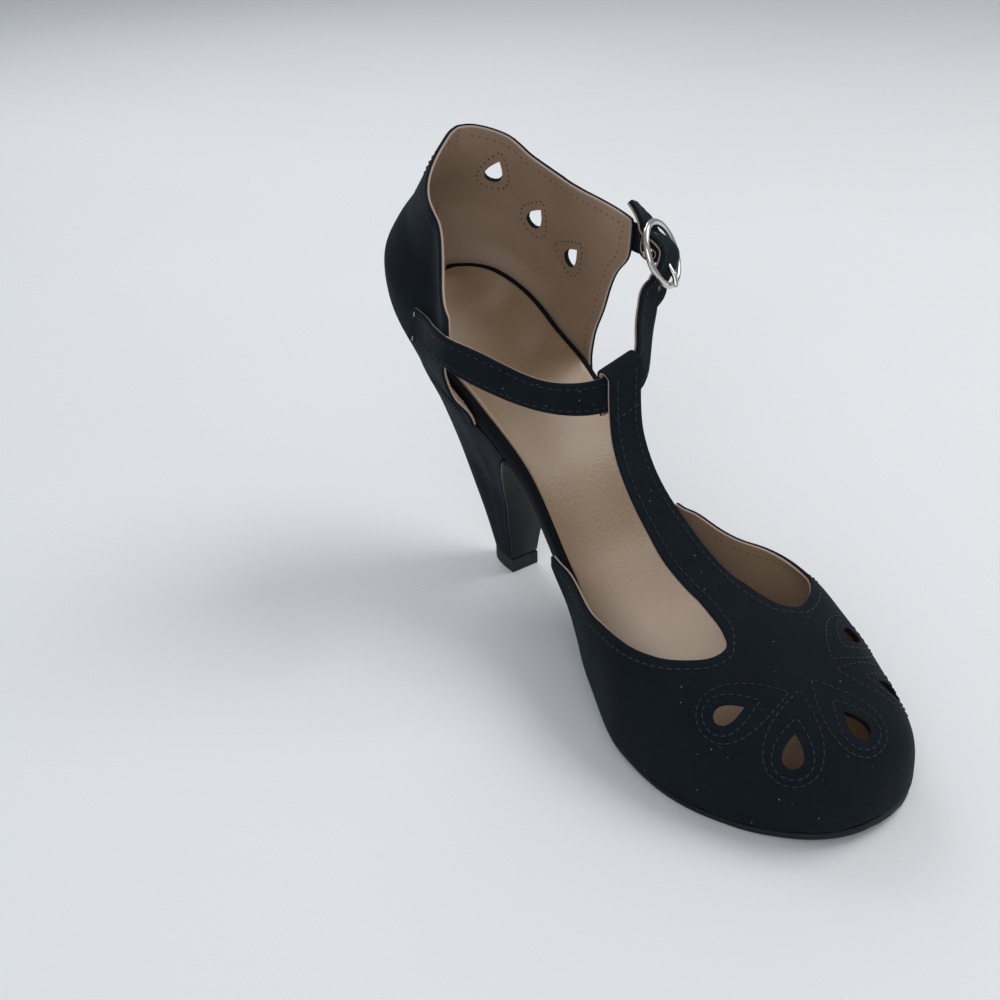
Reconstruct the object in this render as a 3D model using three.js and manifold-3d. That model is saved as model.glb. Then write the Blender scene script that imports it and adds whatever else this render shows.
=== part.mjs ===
// A left high heel shoe with a T-strap, in suede, with a tan sock.
// Millimetres. While it is built, x runs forward from the back of the heel seat, y to the outer (lateral)
// side and z up from the floor. The finished group has its origin under the middle of the heel tip.

import * as THREE from 'three';
import { mergeVertices } from 'three/addons/utils/BufferGeometryUtils.js';
import Module from 'manifold-3d';

const wasm = await Module();
wasm.setup();

// Driving sizes
const shoeLength = 217.5;        // back of the heel seat to the toe
const ballWidth = 77;            // board at the ball
const seatHeight = 109;          // top of the board at its back end
const toeSpring = 3.4;           // lift of the sole at the toe
const vampHeight = 40;           // crest of the toe above the board's underside
const quarterHeight = 58;        // heel cup at the back seam, above the board's underside
const quarterLength = 70.5;      // heel cup from the back of the seat to the outer tab

// Layers
const gap = 0.3;                 // between two pieces that touch
const curvedGap = 0.45;          // between two broad curved faces
const soleThickness = 2.2;
const soleFlapThickness = 1.3;   // where the sole covers the breast of the heel
const boardThickness = 4.5;      // under heel and waist
const boardThicknessToe = 2.8;
const footbedCup = 1.2;          // how far the middle of the footbed lies below its edge
const sockThickness = 0.9;
const rimWidth = 2.6;            // board edge that shows round the sock
const wall = 1.8;                // upper: suede and lining together
const upperStandout = 2.7;       // upper's face beyond the board at the toe

// Heel and top lift
const tipLength = 14.5;
const tipWidth = 11.8;
const tipFront = 41.5;           // front edge of the tip, from the back of the seat
const tipShift = 2.2;            // the tip stands this far to the outer side
const liftThickness = 5.5;
const breastTop = 63;            // where the breast of the heel runs out under the waist

// Straps
const strapWidth = 11.4;
const strapThickness = 2;
const tStrapWidth = 16.4;        // at its root
const loopHeight = 104.7;        // top of the T-strap's loop
const loopSlack = 0.6;           // between the loop and the ankle strap, on each face
const loopLayerLength = 25;      // how far the folded end comes down behind the strap
const loopLean = 15;             // degrees that the loop leans, its outer end up
const tabStrapWidth = 10;
const tabStrapThickness = 1.3;

// Buckle
const ringLength = 23.4;         // along the ankle strap
const ringWidth = 22;
const wireDiameter = 2.2;
const barDiameter = 1.8;
const barDrop = 1.5;             // middle bar below the ring's own plane
const prongDiameter = 1.5;

// Teardrop cut-outs
const dropLength = 10;
const dropWidth = 6.4;
const dropPoint = 1.15;          // how much the outline draws in towards the tip

const roundHeel = 30;            // length of the round back end of the outline
const toeStart = 160;            // where the round toe begins
const toeFullness = 2.42;        // 2 is an ellipse
const vampFullness = 2.8;        // how flat the top of the vamp is

// Board from back to toe: shares of the shoe's length, of the seat's rise and of the toe spring.
// The column board is 1 for the thick board and 0 for the thin one.
const profileSections = [
  { at: 0, rise: 1, spring: 0, board: 1 },
  { at: 0.027, rise: 0.98, spring: 0, board: 1 },
  { at: 0.068, rise: 0.925, spring: 0, board: 1 },
  { at: 0.137, rise: 0.824, spring: 0, board: 1 },
  { at: 0.228, rise: 0.708, spring: 0, board: 1 },
  { at: 0.342, rise: 0.525, spring: 0, board: 1 },
  { at: 0.457, rise: 0.283, spring: 0, board: 1 },
  { at: 0.571, rise: 0.112, spring: 0, board: 0.6 },
  { at: 0.685, rise: 0.025, spring: 0, board: 0.1 },
  { at: 0.781, rise: 0, spring: 0, board: 0 },
  { at: 0.881, rise: 0, spring: 0, board: 0 },
  { at: 1, rise: 0, spring: 1, board: 0 },
];

// Half widths of the board, as shares of the width at the ball, before the ends are rounded
const widthSections = [
  { at: 0, medial: 0.344, lateral: 0.344 },
  { at: 0.137, medial: 0.342, lateral: 0.345 },
  { at: 0.228, medial: 0.31, lateral: 0.365 },
  { at: 0.342, medial: 0.266, lateral: 0.362 },
  { at: 0.457, medial: 0.291, lateral: 0.406 },
  { at: 0.571, medial: 0.406, lateral: 0.456 },
  { at: 0.685, medial: 0.508, lateral: 0.488 },
  { at: 0.731, medial: 0.514, lateral: 0.488 },
  { at: 0.799, medial: 0.506, lateral: 0.479 },
  { at: 0.872, medial: 0.474, lateral: 0.44 },
  { at: 0.941, medial: 0.442, lateral: 0.406 },
  { at: 1, medial: 0.442, lateral: 0.403 },
];

// Crest of the vamp, as a share of its height
const crestSections = [
  { at: 0.41, crest: 1.13 },
  { at: 0.571, crest: 1.09 },
  { at: 0.676, crest: 1.02 },
  { at: 0.731, crest: 1 },
  { at: 0.776, crest: 0.968 },
  { at: 0.831, crest: 0.942 },
  { at: 0.89, crest: 0.925 },
  { at: 0.941, crest: 0.942 },
  { at: 1, crest: 1 },
];

// How far the outer side of the vamp bulges beside its opening, as a share of the width at the ball
const bulgeSections = [
  { at: 0.41, out: 0 },
  { at: 0.52, out: 0.05 },
  { at: 0.6, out: 0.072 },
  { at: 0.7, out: 0.072 },
  { at: 0.76, out: 0.045 },
  { at: 0.83, out: 0.01 },
  { at: 0.9, out: 0 },
  { at: 1, out: 0 },
];

// Edge of each side opening, from the tip of the wing to its front end, beside the T-strap.
// The column turn is the angle round the vamp, 0 at the board's edge and 90 at the crest.
const medialOpening = [
  { at: 0.427, turn: 1.9 },
  { at: 0.44, turn: 3.4 },
  { at: 0.47, turn: 8 },
  { at: 0.516, turn: 14.3 },
  { at: 0.553, turn: 19.8 },
  { at: 0.619, turn: 32 },
  { at: 0.67, turn: 41.5 },
  { at: 0.709, turn: 48.8 },
  { at: 0.738, turn: 57 },
  { at: 0.755, turn: 64 },
  { at: 0.76, turn: 70 },
  { at: 0.757, turn: 74 },
  { at: 0.748, turn: 76.3 },
];
const lateralOpening = [
  { at: 0.427, turn: 1.9 },
  { at: 0.44, turn: 3.4 },
  { at: 0.47, turn: 8.5 },
  { at: 0.516, turn: 14.3 },
  { at: 0.553, turn: 19.8 },
  { at: 0.619, turn: 32 },
  { at: 0.668, turn: 41.5 },
  { at: 0.71, turn: 50 },
  { at: 0.735, turn: 58 },
  { at: 0.75, turn: 66 },
  { at: 0.754, turn: 72 },
  { at: 0.748, turn: 75.6 },
];
// The vamp between the two openings, as shares of the width at the ball
const neckSections = [
  { at: 0.676, medial: -0.117, lateral: 0.101 },
  { at: 0.705, medial: -0.129, lateral: 0.114 },
  { at: 0.732, medial: -0.145, lateral: 0.132 },
  { at: 0.748, medial: -0.168, lateral: 0.155 },
];

// How the vamp's ribs fan out: shares of the way from a wing's tip to the middle, along the board's edge
// and along the openings' edge
const fanSections = [
  { at: 0, edge: 0 },
  { at: 0.22, edge: 0.28 },
  { at: 0.42, edge: 0.52 },
  { at: 0.6, edge: 0.67 },
  { at: 0.76, edge: 0.78 },
  { at: 0.9, edge: 0.89 },
  { at: 1, edge: 1 },
];

// T-strap above its root: its middle as shares of the shoe's length, the ball's width and the seat's
// height, and its width as a share of the width at the root
const strapLine = [
  { at: 0.648, side: -0.008, up: 0.437, wide: 1 },
  { at: 0.605, side: -0.013, up: 0.477, wide: 0.98 },
  { at: 0.562, side: -0.006, up: 0.529, wide: 0.9 },
  { at: 0.522, side: 0.003, up: 0.583, wide: 0.82 },
  { at: 0.491, side: 0.006, up: 0.651, wide: 0.77 },
  { at: 0.468, side: 0.01, up: 0.734, wide: 0.74 },
  { at: 0.457, side: 0.018, up: 0.826, wide: 0.76 },
  { at: 0.453, side: 0.026, up: 0.9, wide: 0.8 },
];
const rootAt = 0.676;            // where the T-strap leaves the vamp, as a share of the length
const rootSide = -0.008;

// Heel cup from the board's underside (0) to its top edge (1). Lengths are shares of the quarter's length
// and widths of the ball's width: back point, length of the round back on each side, half widths where the
// round back ends. The column full says how square the inner side's back corner is, 2 being an ellipse.
const quarterSections = [
  { at: 0, back: -0.03, round: 0.455, innerRound: 0.455, full: 2, medial: 0.371, lateral: 0.374 },
  { at: 0.08, back: -0.047, round: 0.468, innerRound: 0.465, full: 2.1, medial: 0.395, lateral: 0.385 },
  { at: 0.25, back: -0.085, round: 0.505, innerRound: 0.5, full: 2.4, medial: 0.44, lateral: 0.4 },
  { at: 0.42, back: -0.075, round: 0.525, innerRound: 0.52, full: 2.5, medial: 0.455, lateral: 0.4 },
  { at: 0.6, back: -0.015, round: 0.505, innerRound: 0.5, full: 2.4, medial: 0.415, lateral: 0.385 },
  { at: 0.7, back: 0.04, round: 0.475, innerRound: 0.475, full: 2.2, medial: 0.385, lateral: 0.37 },
  { at: 0.77, back: 0.077, round: 0.45, innerRound: 0.45, full: 2.1, medial: 0.385, lateral: 0.36 },
  { at: 0.85, back: 0.113, round: 0.425, innerRound: 0.43, full: 1.9, medial: 0.39, lateral: 0.345 },
  { at: 1, back: 0.16, round: 0.4, innerRound: 0.42, full: 1.5, medial: 0.4, lateral: 0.315 },
];
// Its front edges: half widths and distances from the back of the seat, in the same shares
const quarterFronts = [
  { at: 0, medial: 0.337, lateral: 0.392, medialEnd: 0.737, lateralEnd: 0.69 },
  { at: 0.08, medial: 0.352, lateral: 0.393, medialEnd: 0.73, lateralEnd: 0.68 },
  { at: 0.25, medial: 0.43, lateral: 0.393, medialEnd: 0.725, lateralEnd: 0.705 },
  { at: 0.42, medial: 0.475, lateral: 0.39, medialEnd: 0.735, lateralEnd: 0.775 },
  { at: 0.6, medial: 0.515, lateral: 0.385, medialEnd: 0.79, lateralEnd: 0.84 },
  { at: 0.7, medial: 0.537, lateral: 0.38, medialEnd: 0.855, lateralEnd: 0.895 },
  { at: 0.77, medial: 0.548, lateral: 0.378, medialEnd: 0.9, lateralEnd: 0.96 },
  { at: 0.85, medial: 0.552, lateral: 0.374, medialEnd: 0.905, lateralEnd: 0.985 },
  { at: 1, medial: 0.55, lateral: 0.37, medialEnd: 0.905, lateralEnd: 1 },
];

// Height of the heel cup's top edge from the back seam (0) to each tab (1), as a share of its height at
// the back, measured from the board's underside at the back
const toplineSections = [
  { at: 0, medial: 1, lateral: 1 },
  { at: 0.06, medial: 0.985, lateral: 0.997 },
  { at: 0.12, medial: 0.94, lateral: 0.98 },
  { at: 0.24, medial: 0.85, lateral: 0.92 },
  { at: 0.35, medial: 0.78, lateral: 0.805 },
  { at: 0.48, medial: 0.71, lateral: 0.73 },
  { at: 0.62, medial: 0.61, lateral: 0.69 },
  { at: 0.78, medial: 0.42, lateral: 0.65 },
  { at: 0.92, medial: 0.32, lateral: 0.61 },
  { at: 1, medial: 0.27, lateral: 0.585 },
];

// Heel between its tip (0) and the seat (1): how far each rib has come out towards the seat's outline,
// on the sides and at the back, and how far the breast has come forward
const heelSections = [
  { at: 0, side: 0, back: 0, breast: 0 },
  { at: 0.15, side: 0.06, back: 0.14, breast: 0.04 },
  { at: 0.3, side: 0.15, back: 0.3, breast: 0.09 },
  { at: 0.45, side: 0.25, back: 0.46, breast: 0.18 },
  { at: 0.6, side: 0.43, back: 0.62, breast: 0.31 },
  { at: 0.75, side: 0.63, back: 0.78, breast: 0.49 },
  { at: 0.88, side: 0.83, back: 0.92, breast: 0.71 },
  { at: 0.95, side: 0.94, back: 0.98, breast: 0.86 },
  { at: 1, side: 1, back: 1, breast: 1 },
];

// Ankle strap from the front edge of the inner tab to the loop: middle of the strap, as
// shares of the shoe's length, the ball's width and the seat's height, and the way its width points
const innerStrap = [
  { at: 0.304, side: -0.578, up: 1.015, wide: [0.2, -0.1, 1] },
  { at: 0.321, side: -0.5, up: 0.967, wide: [0.1, 0, 1] },
  { at: 0.344, side: -0.379, up: 0.908, wide: [0.15, -0.06, 1] },
  { at: 0.371, side: -0.282, up: 0.858, wide: [0.2, -0.1, 0.97] },
  { at: 0.404, side: -0.19, up: 0.845, wide: [0.12, -0.05, 1] },
];
// From the loop up to the buckle
const outerStrap = [
  { at: 0.43, side: 0.181, up: 0.938, wide: [0.04, -0.25, 0.92] },
  { at: 0.42, side: 0.19, up: 0.988, wide: [0.16, -0.65, 0.74] },
  { at: 0.409, side: 0.226, up: 1.026, wide: [0.22, -0.78, 0.58] },
  { at: 0.397, side: 0.271, up: 1.075, wide: [0.26, -0.86, 0.44] },
];
// Tail of the strap beyond the buckle
const strapTail = [
  { at: 0.331, side: 0.392, up: 1.284, wide: [0.45, -0.8, 0.35] },
  { at: 0.315, side: 0.378, up: 1.316, wide: [0.6, -0.72, 0.3] },
];
// Short strap on the outer tab
const tabStrap = [
  { at: 0.289, side: 0.392, up: 1.207, wide: [0, 0, 1] },
  { at: 0.322, side: 0.392, up: 1.207, wide: [0, 0, 1] },
];

// Middle of each cut-out on the vamp, and the way its tip points, seen from above in degrees
const vampDrops = [
  { at: 0.826, side: -0.365, tip: 72 },
  { at: 0.915, side: -0.285, tip: 128 },
  { at: 0.942, side: -0.042, tip: 180 },
  { at: 0.909, side: 0.266, tip: -123 },
  { at: 0.822, side: 0.309, tip: -74 },
];
// Middle of each cut-out on the outer side of the heel cup, from the back seam to the front edge and from
// the board's underside to the top edge
const quarterDrops = [
  { along: 0.2, up: 0.74, tip: 50 },
  { along: 0.375, up: 0.6, tip: 50 },
  { along: 0.6, up: 0.55, tip: 50 },
];

const medial = -1;
const lateral = 1;

// A smooth curve through one column of a table, with no overshoot between its rows
function column(table, name) {
  const places = table.map((row) => row.at);
  const values = table.map((row) => row[name]);
  const last = places.length - 1;
  const slopes = [];
  for (let i = 0; i < last; i++) slopes.push((values[i + 1] - values[i]) / (places[i + 1] - places[i]));
  const tangents = values.map((_, i) => {
    if (i === 0) return slopes[0];
    if (i === last) return slopes[last - 1];
    const before = slopes[i - 1];
    const after = slopes[i];
    return before * after <= 0 ? 0 : (2 * before * after) / (before + after);
  });
  return (place) => {
    const x = Math.min(Math.max(place, places[0]), places[last]);
    let i = 0;
    while (i < last - 1 && x > places[i + 1]) i++;
    const step = places[i + 1] - places[i];
    const t = (x - places[i]) / step;
    const rest = 1 - t;
    return values[i] * rest * rest * (1 + 2 * t) + values[i + 1] * t * t * (3 - 2 * t)
      + step * (tangents[i] * t * rest * rest - tangents[i + 1] * t * t * rest);
  };
}

// All columns of a table
const readTable = (table) => Object.fromEntries(Object.keys(table[0]).filter((name) => name !== 'at')
  .map((name) => [name, column(table, name)]));

const mix = (a, b, t) => a + (b - a) * t;
const ease = (t) => {
  const c = Math.min(Math.max(t, 0), 1);
  return c * c * (3 - 2 * c);
};
const degrees = (angle) => THREE.MathUtils.degToRad(angle);
const point = (x, y, z) => new THREE.Vector3(x, y, z);

// Board: side profile and outline

const riseAt = column(profileSections, 'rise');
const springAt = column(profileSections, 'spring');
const boardAt = column(profileSections, 'board');
const widthAt = { [medial]: column(widthSections, 'medial'), [lateral]: column(widthSections, 'lateral') };

const treadTop = soleThickness + curvedGap + boardThicknessToe;
const share = (x) => x / shoeLength;
const footbed = (x) => treadTop + (seatHeight - treadTop) * riseAt(share(x)) + toeSpring * springAt(share(x));
const boardUnder = (x) => footbed(x) - mix(boardThicknessToe, boardThickness, boardAt(share(x)));
const soleTop = (x) => boardUnder(x) - curvedGap;

// Half width of the body of the outline, before its ends are rounded
const bodyWidth = (x, side, grow) => ballWidth * widthAt[side](share(x)) + grow;

// Half width of the board's outline, grown by some millimetres all round
function halfWidth(x, side, grow) {
  const body = bodyWidth(x, side, grow);
  if (x < roundHeel) {
    const back = (roundHeel - x) / (roundHeel + grow);
    return body * Math.sqrt(Math.max(0, 1 - back * back));
  }
  if (x > toeStart) {
    const front = (x - toeStart) / (shoeLength - upperStandout + grow - toeStart);
    return body * Math.pow(Math.max(0, 1 - Math.pow(front, toeFullness)), 1 / toeFullness);
  }
  return body;
}

// Vamp: the form over the toes

const crestAt = column(crestSections, 'crest');
const crestHeight = (x) => vampHeight * crestAt(share(x));

// How far a place seen from above lies towards the edge of the vamp: 0 on the crest, 1 on the edge
function edgeShare(x, y) {
  const front = Math.max(0, (x - toeStart) / (shoeLength - toeStart));
  const across = Math.abs(y) / bodyWidth(x, y < 0 ? medial : lateral, upperStandout);
  return Math.pow(front, toeFullness) + Math.pow(across, toeFullness);
}
const bulgeAt = column(bulgeSections, 'out');
const neck = readTable(neckSections);
function vampSurface(x, y) {
  const near = Math.min(1, edgeShare(x, y));
  const height = crestHeight(x) * Math.pow(1 - near, 1 / vampFullness);
  const side = ease(y / (ballWidth * 0.2)) * 4 * near * (1 - near);
  const bulge = ballWidth * bulgeAt(share(x)) * side;
  return point(x, y + bulge, boardUnder(x) + height + bulge * 0.45);
}

// The place on the vamp at a length and an angle round it
function openingPoint(x, turn, side) {
  const front = Math.max(0, (x - toeStart) / (shoeLength - toeStart));
  const across = Math.max(0, Math.cos(turn) ** 2 - Math.pow(front, toeFullness));
  return new THREE.Vector2(x, side * bodyWidth(x, side, upperStandout) * Math.pow(across, 1 / toeFullness));
}

// Even steps along a line of points
class Path {
  constructor(points) {
    this.points = points;
    this.lengths = [0];
    for (let i = 1; i < points.length; i++) {
      this.lengths.push(this.lengths[i - 1] + points[i].distanceTo(points[i - 1]));
    }
    this.length = this.lengths[points.length - 1];
  }
  at(part) {
    const target = Math.min(Math.max(part, 0), 1) * this.length;
    let i = 1;
    while (i < this.points.length - 1 && this.lengths[i] < target) i++;
    const step = this.lengths[i] - this.lengths[i - 1];
    return this.points[i - 1].clone().lerp(this.points[i], (target - this.lengths[i - 1]) / step);
  }
}

// Solids from grids of points

function geometry(points, faces) {
  const shape = new THREE.BufferGeometry();
  shape.setAttribute('position', new THREE.Float32BufferAttribute(points.flatMap((p) => [p.x, p.y, p.z]), 3));
  shape.setIndex(faces.flat());
  return shape;
}

// Two triangles for each cell of a grid of rows of equal length
function gridFaces(rows, columns, start = 0) {
  const faces = [];
  for (let i = 0; i < rows - 1; i++) {
    for (let j = 0; j < columns - 1; j++) {
      const a = start + i * columns + j;
      const b = a + columns;
      faces.push([a, b, b + 1], [a, b + 1, a + 1]);
    }
  }
  return faces;
}

function volume(points, faces) {
  let sum = 0;
  const cross = new THREE.Vector3();
  for (const [a, b, c] of faces) sum += points[a].dot(cross.crossVectors(points[b], points[c]));
  return sum / 6;
}

function closed(points, faces) {
  return geometry(points, volume(points, faces) < 0 ? faces.map(([a, b, c]) => [a, c, b]) : faces);
}

// A wall of some thickness behind an open surface
function thicken(points, faces, thickness) {
  const normals = points.map(() => new THREE.Vector3());
  const edge1 = new THREE.Vector3();
  const edge2 = new THREE.Vector3();
  for (const [a, b, c] of faces) {
    edge1.subVectors(points[b], points[a]);
    edge2.subVectors(points[c], points[a]);
    const normal = edge1.clone().cross(edge2);
    normals[a].add(normal);
    normals[b].add(normal);
    normals[c].add(normal);
  }
  const count = points.length;
  const inner = points.map((p, i) => p.clone().addScaledVector(normals[i].normalize(), -thickness));
  const used = new Set();
  for (const [a, b, c] of faces) [[a, b], [b, c], [c, a]].forEach(([p, q]) => used.add(`${p} ${q}`));
  const sides = [];
  for (const [a, b, c] of faces) {
    for (const [p, q] of [[a, b], [b, c], [c, a]]) {
      if (used.has(`${q} ${p}`)) continue;
      sides.push([q, p, p + count], [q, p + count, q + count]);
    }
  }
  const back = faces.map(([a, b, c]) => [a + count, c + count, b + count]);
  return closed([...points, ...inner], [...faces, ...back, ...sides]);
}

// A solid through closed rings of points, with flat fans over its two ends
function loft(rings) {
  const size = rings[0].length;
  const points = rings.flat();
  const faces = [];
  rings.slice(1).forEach((_, i) => {
    for (let j = 0; j < size; j++) {
      const k = (j + 1) % size;
      const a = i * size;
      const b = a + size;
      faces.push([a + j, b + j, b + k], [a + j, b + k, a + k]);
    }
  });
  [0, rings.length - 1].forEach((end) => {
    const middle = new THREE.Vector3();
    rings[end].forEach((p) => middle.addScaledVector(p, 1 / size));
    const centre = points.push(middle) - 1;
    for (let j = 0; j < size; j++) {
      const k = (j + 1) % size;
      const a = end * size;
      faces.push(end === 0 ? [centre, a + j, a + k] : [centre, a + k, a + j]);
    }
  });
  return closed(points, faces);
}

// Cutting and joining

function toSolid(shape) {
  const bare = shape.clone();
  bare.deleteAttribute('normal');
  bare.deleteAttribute('uv');
  const merged = mergeVertices(bare, 1e-4);
  return new wasm.Manifold(new wasm.Mesh({
    numProp: 3,
    vertProperties: new Float32Array(merged.attributes.position.array),
    triVerts: new Uint32Array(merged.index.array),
  }));
}
function fromSolid(solid) {
  const mesh = solid.getMesh();
  const shape = new THREE.BufferGeometry();
  shape.setAttribute('position', new THREE.Float32BufferAttribute(mesh.vertProperties, 3));
  shape.setIndex(Array.from(mesh.triVerts));
  return shape;
}
const cutAll = (shape, tools) => fromSolid(tools.reduce((left, tool) => left.subtract(toSolid(tool)), toSolid(shape)));
const joinAll = (shapes) => fromSolid(shapes.slice(1).reduce((all, next) => all.add(toSolid(next)), toSolid(shapes[0])));

// Slab that follows the footbed between two faces, with its long edges a little rounded
function footbedSlab({ grow, top, under, cup, underCup, stations }) {
  const across = 4;
  const from = -grow;
  const to = shoeLength - upperStandout + grow;
  const rings = [];
  for (let i = 0; i <= stations; i++) {
    const turn = mix(0.035, 0.98, i / stations) * Math.PI;
    const x = mix(from, to, (1 - Math.cos(turn)) / 2);
    const inner = halfWidth(x, medial, grow);
    const outer = halfWidth(x, lateral, grow);
    const round = Math.min((top(x) - under(x)) * 0.3, 0.8, inner / 3);
    const row = (height, depth) => {
      const places = [];
      for (let j = 0; j <= across; j++) {
        const side = (2 * j) / across - 1;
        places.push(point(x, side * ((side < 0 ? inner : outer) - round), height - depth * (1 - side * side)));
      }
      return places;
    };
    const below = underCup ? row(under(x), underCup(x)) : [row(under(x), 0)[0], row(under(x), 0)[across]];
    rings.push([
      ...row(top(x), cup(x)),
      point(x, outer, top(x) - round), point(x, outer, under(x) + round),
      ...below.reverse(),
      point(x, -inner, under(x) + round), point(x, -inner, top(x) - round),
    ]);
  }
  return loft(rings);
}

// Heel: from the seat's outline down to the D-shaped tip

const heelSide = column(heelSections, 'side');
const heelBack = column(heelSections, 'back');
const heelBreast = column(heelSections, 'breast');
const tipTop = liftThickness + gap;
const seatGrow = (x) => mix(gap + wall, 0, ease((x - 44) / 12));
const tipBack = tipFront - tipLength;

// Outline of the tip, for a place from the back (0) to the front (1)
const tipHalfWidth = (part) => (tipWidth / 2) * Math.pow(1 - Math.pow(1 - part, 2.4), 1 / 2.4);

// Breast of the heel in the side view, from the tip (0) to where it runs out under the waist (1)
function breastPoint(part) {
  const x = mix(tipFront, breastTop, heelBreast(part));
  return new THREE.Vector2(x, mix(tipTop, soleTop(breastTop) - gap, part));
}

function heelShape() {
  const ribs = 15;
  const levels = 12;
  const seatBack = -(gap + wall);
  const rows = [];
  for (let i = 0; i <= levels; i++) {
    const level = i / levels;
    const row = [];
    for (let j = -ribs; j <= ribs; j++) {
      const side = j < 0 ? medial : lateral;
      const along = 1 - Math.cos((Math.abs(j) / ribs) * Math.PI / 2);
      const seatX = mix(seatBack, breastTop, along);
      const seatY = side * halfWidth(seatX, side, seatGrow(seatX));
      const tipX = mix(tipBack, tipFront, along);
      const tipY = tipShift + side * tipHalfWidth(along);
      const out = mix(heelBack(level), heelSide(level), ease(along * 1.6));
      const forward = mix(heelBack(level), heelBreast(level), along);
      const x = mix(tipX, seatX, forward);
      const y = j === 0 ? mix(tipShift, 0, level) : mix(tipY, seatY, out);
      row.push(point(x, y, mix(tipTop, soleTop(seatX), level)));
    }
    rows.push(row);
  }
  const width = 2 * ribs + 1;
  const points = rows.flat();
  const faces = gridFaces(rows.length, width);
  const last = levels * width;
  for (let j = 0; j < ribs; j++) {
    const near = ribs - j;
    const far = ribs + j;
    [0, last].forEach((start) => {
      const quad = [start + near, start + far, start + far + 1, start + near - 1];
      const cap = j === 0 ? [[quad[0], quad[2], quad[3]]] : [[quad[0], quad[1], quad[2]], [quad[0], quad[2], quad[3]]];
      faces.push(...(start === 0 ? cap.map(([a, b, c]) => [a, c, b]) : cap).map(([a, b, c]) => [a, c, b]));
    });
  }
  for (let i = 0; i < levels; i++) {
    const a = i * width;
    const b = a + width;
    faces.push([a, a + width - 1, b + width - 1], [a, b + width - 1, b]);
  }
  return closed(points, faces);
}

// Top lift: a plate with the heel tip's outline

function liftShape() {
  const ring = [];
  const steps = 16;
  for (let j = -steps; j <= steps; j++) {
    const along = 1 - Math.cos((Math.abs(j) / steps) * Math.PI / 2);
    const side = j < 0 ? medial : lateral;
    ring.push([mix(tipBack, tipFront + soleFlapThickness + gap, along), tipShift + side * tipHalfWidth(along)]);
  }
  return loft([0, liftThickness].map((z) => ring.map(([x, y]) => point(x, y, z))));
}

// Outsole: along the waist and tread, and down the breast of the heel

function soleShape() {
  const stations = [];
  const breastSteps = 14;
  for (let i = 0; i <= breastSteps; i++) {
    const part = mix(0.012, 0.985, i / breastSteps);
    const here = breastPoint(part);
    const ahead = breastPoint(part + 0.01).sub(breastPoint(part - 0.01 < 0 ? 0 : part - 0.01)).normalize();
    const away = new THREE.Vector2(ahead.y, -ahead.x);
    const width = (side) => Math.abs(mix(tipShift + side * tipWidth / 2, side * halfWidth(breastTop, side, 0), heelSide(part)));
    stations.push({
      top: here.clone().addScaledVector(away, gap),
      away,
      thick: mix(soleFlapThickness, soleThickness, ease(part)),
      inner: width(medial) * Math.sign(-(tipShift - tipWidth / 2)),
      outer: width(lateral),
    });
  }
  const waistSteps = 34;
  const toe = shoeLength - upperStandout + 0.6;
  for (let i = 1; i <= waistSteps; i++) {
    const t = i / waistSteps;
    const x = mix(breastTop, toe - 0.05, Math.sin((t * Math.PI) / 2) * 0.35 + t * 0.65);
    const grow = mix(-0.6, 0.6, ease((x - 100) / 40));
    const slope = (soleTop(x + 0.5) - soleTop(x - 0.5));
    const away = new THREE.Vector2(slope, -1).normalize();
    stations.push({
      top: new THREE.Vector2(x, soleTop(x)),
      away,
      thick: soleThickness,
      inner: halfWidth(x, medial, grow),
      outer: halfWidth(x, lateral, grow),
    });
  }
  return loft(stations.map(({ top, away, thick, inner, outer }) => {
    const under = top.clone().addScaledVector(away, thick);
    const round = Math.min(0.5, thick / 3, inner / 3);
    const deep = (part) => top.clone().lerp(under, part);
    const edge = round / thick;
    return [
      point(top.x, -inner + round, top.y), point(top.x, outer - round, top.y),
      point(deep(edge).x, outer, deep(edge).y), point(deep(1 - edge).x, outer, deep(1 - edge).y),
      point(under.x, outer - round, under.y), point(under.x, -inner + round, under.y),
      point(deep(1 - edge).x, -inner, deep(1 - edge).y), point(deep(edge).x, -inner, deep(edge).y),
    ];
  }));
}

// Vamp with T-strap and loop

const rootX = rootAt * shoeLength;
const rootMiddle = new THREE.Vector2(rootX, rootSide * ballWidth);
const neckX = neckSections[neckSections.length - 1].at * shoeLength;
const neckSteps = 4;
const riseSteps = 15;
const foldSteps = 5;
const fallSteps = 5;
const loopBend = wall + loopSlack + strapThickness / 2;

// Board's edge of one side of the vamp, from the wing's tip to the toe
function featherLine(side) {
  const wing = medialOpening[0].at * shoeLength;
  const steps = 40;
  const line = [];
  for (let i = 0; i < steps; i++) {
    const x = mix(wing, toeStart, i / steps);
    line.push(new THREE.Vector2(x, side * bodyWidth(x, side, upperStandout)));
  }
  for (let i = 0; i <= steps; i++) {
    const turn = ((i / steps) * Math.PI) / 2;
    const x = toeStart + (shoeLength - toeStart) * Math.pow(Math.sin(turn), 2 / toeFullness);
    const across = Math.pow(Math.max(0, Math.cos(turn)), 2 / toeFullness);
    line.push(new THREE.Vector2(x, side * bodyWidth(x, side, upperStandout) * across));
  }
  return line;
}

function openingLine(table, side) {
  const rows = table.map((row) => point(row.at * shoeLength, row.turn, 0));
  const curve = new THREE.CatmullRomCurve3(rows, false, 'centripetal');
  return curve.getSpacedPoints(120).map((p) => openingPoint(p.x, degrees(p.y), side));
}

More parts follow.
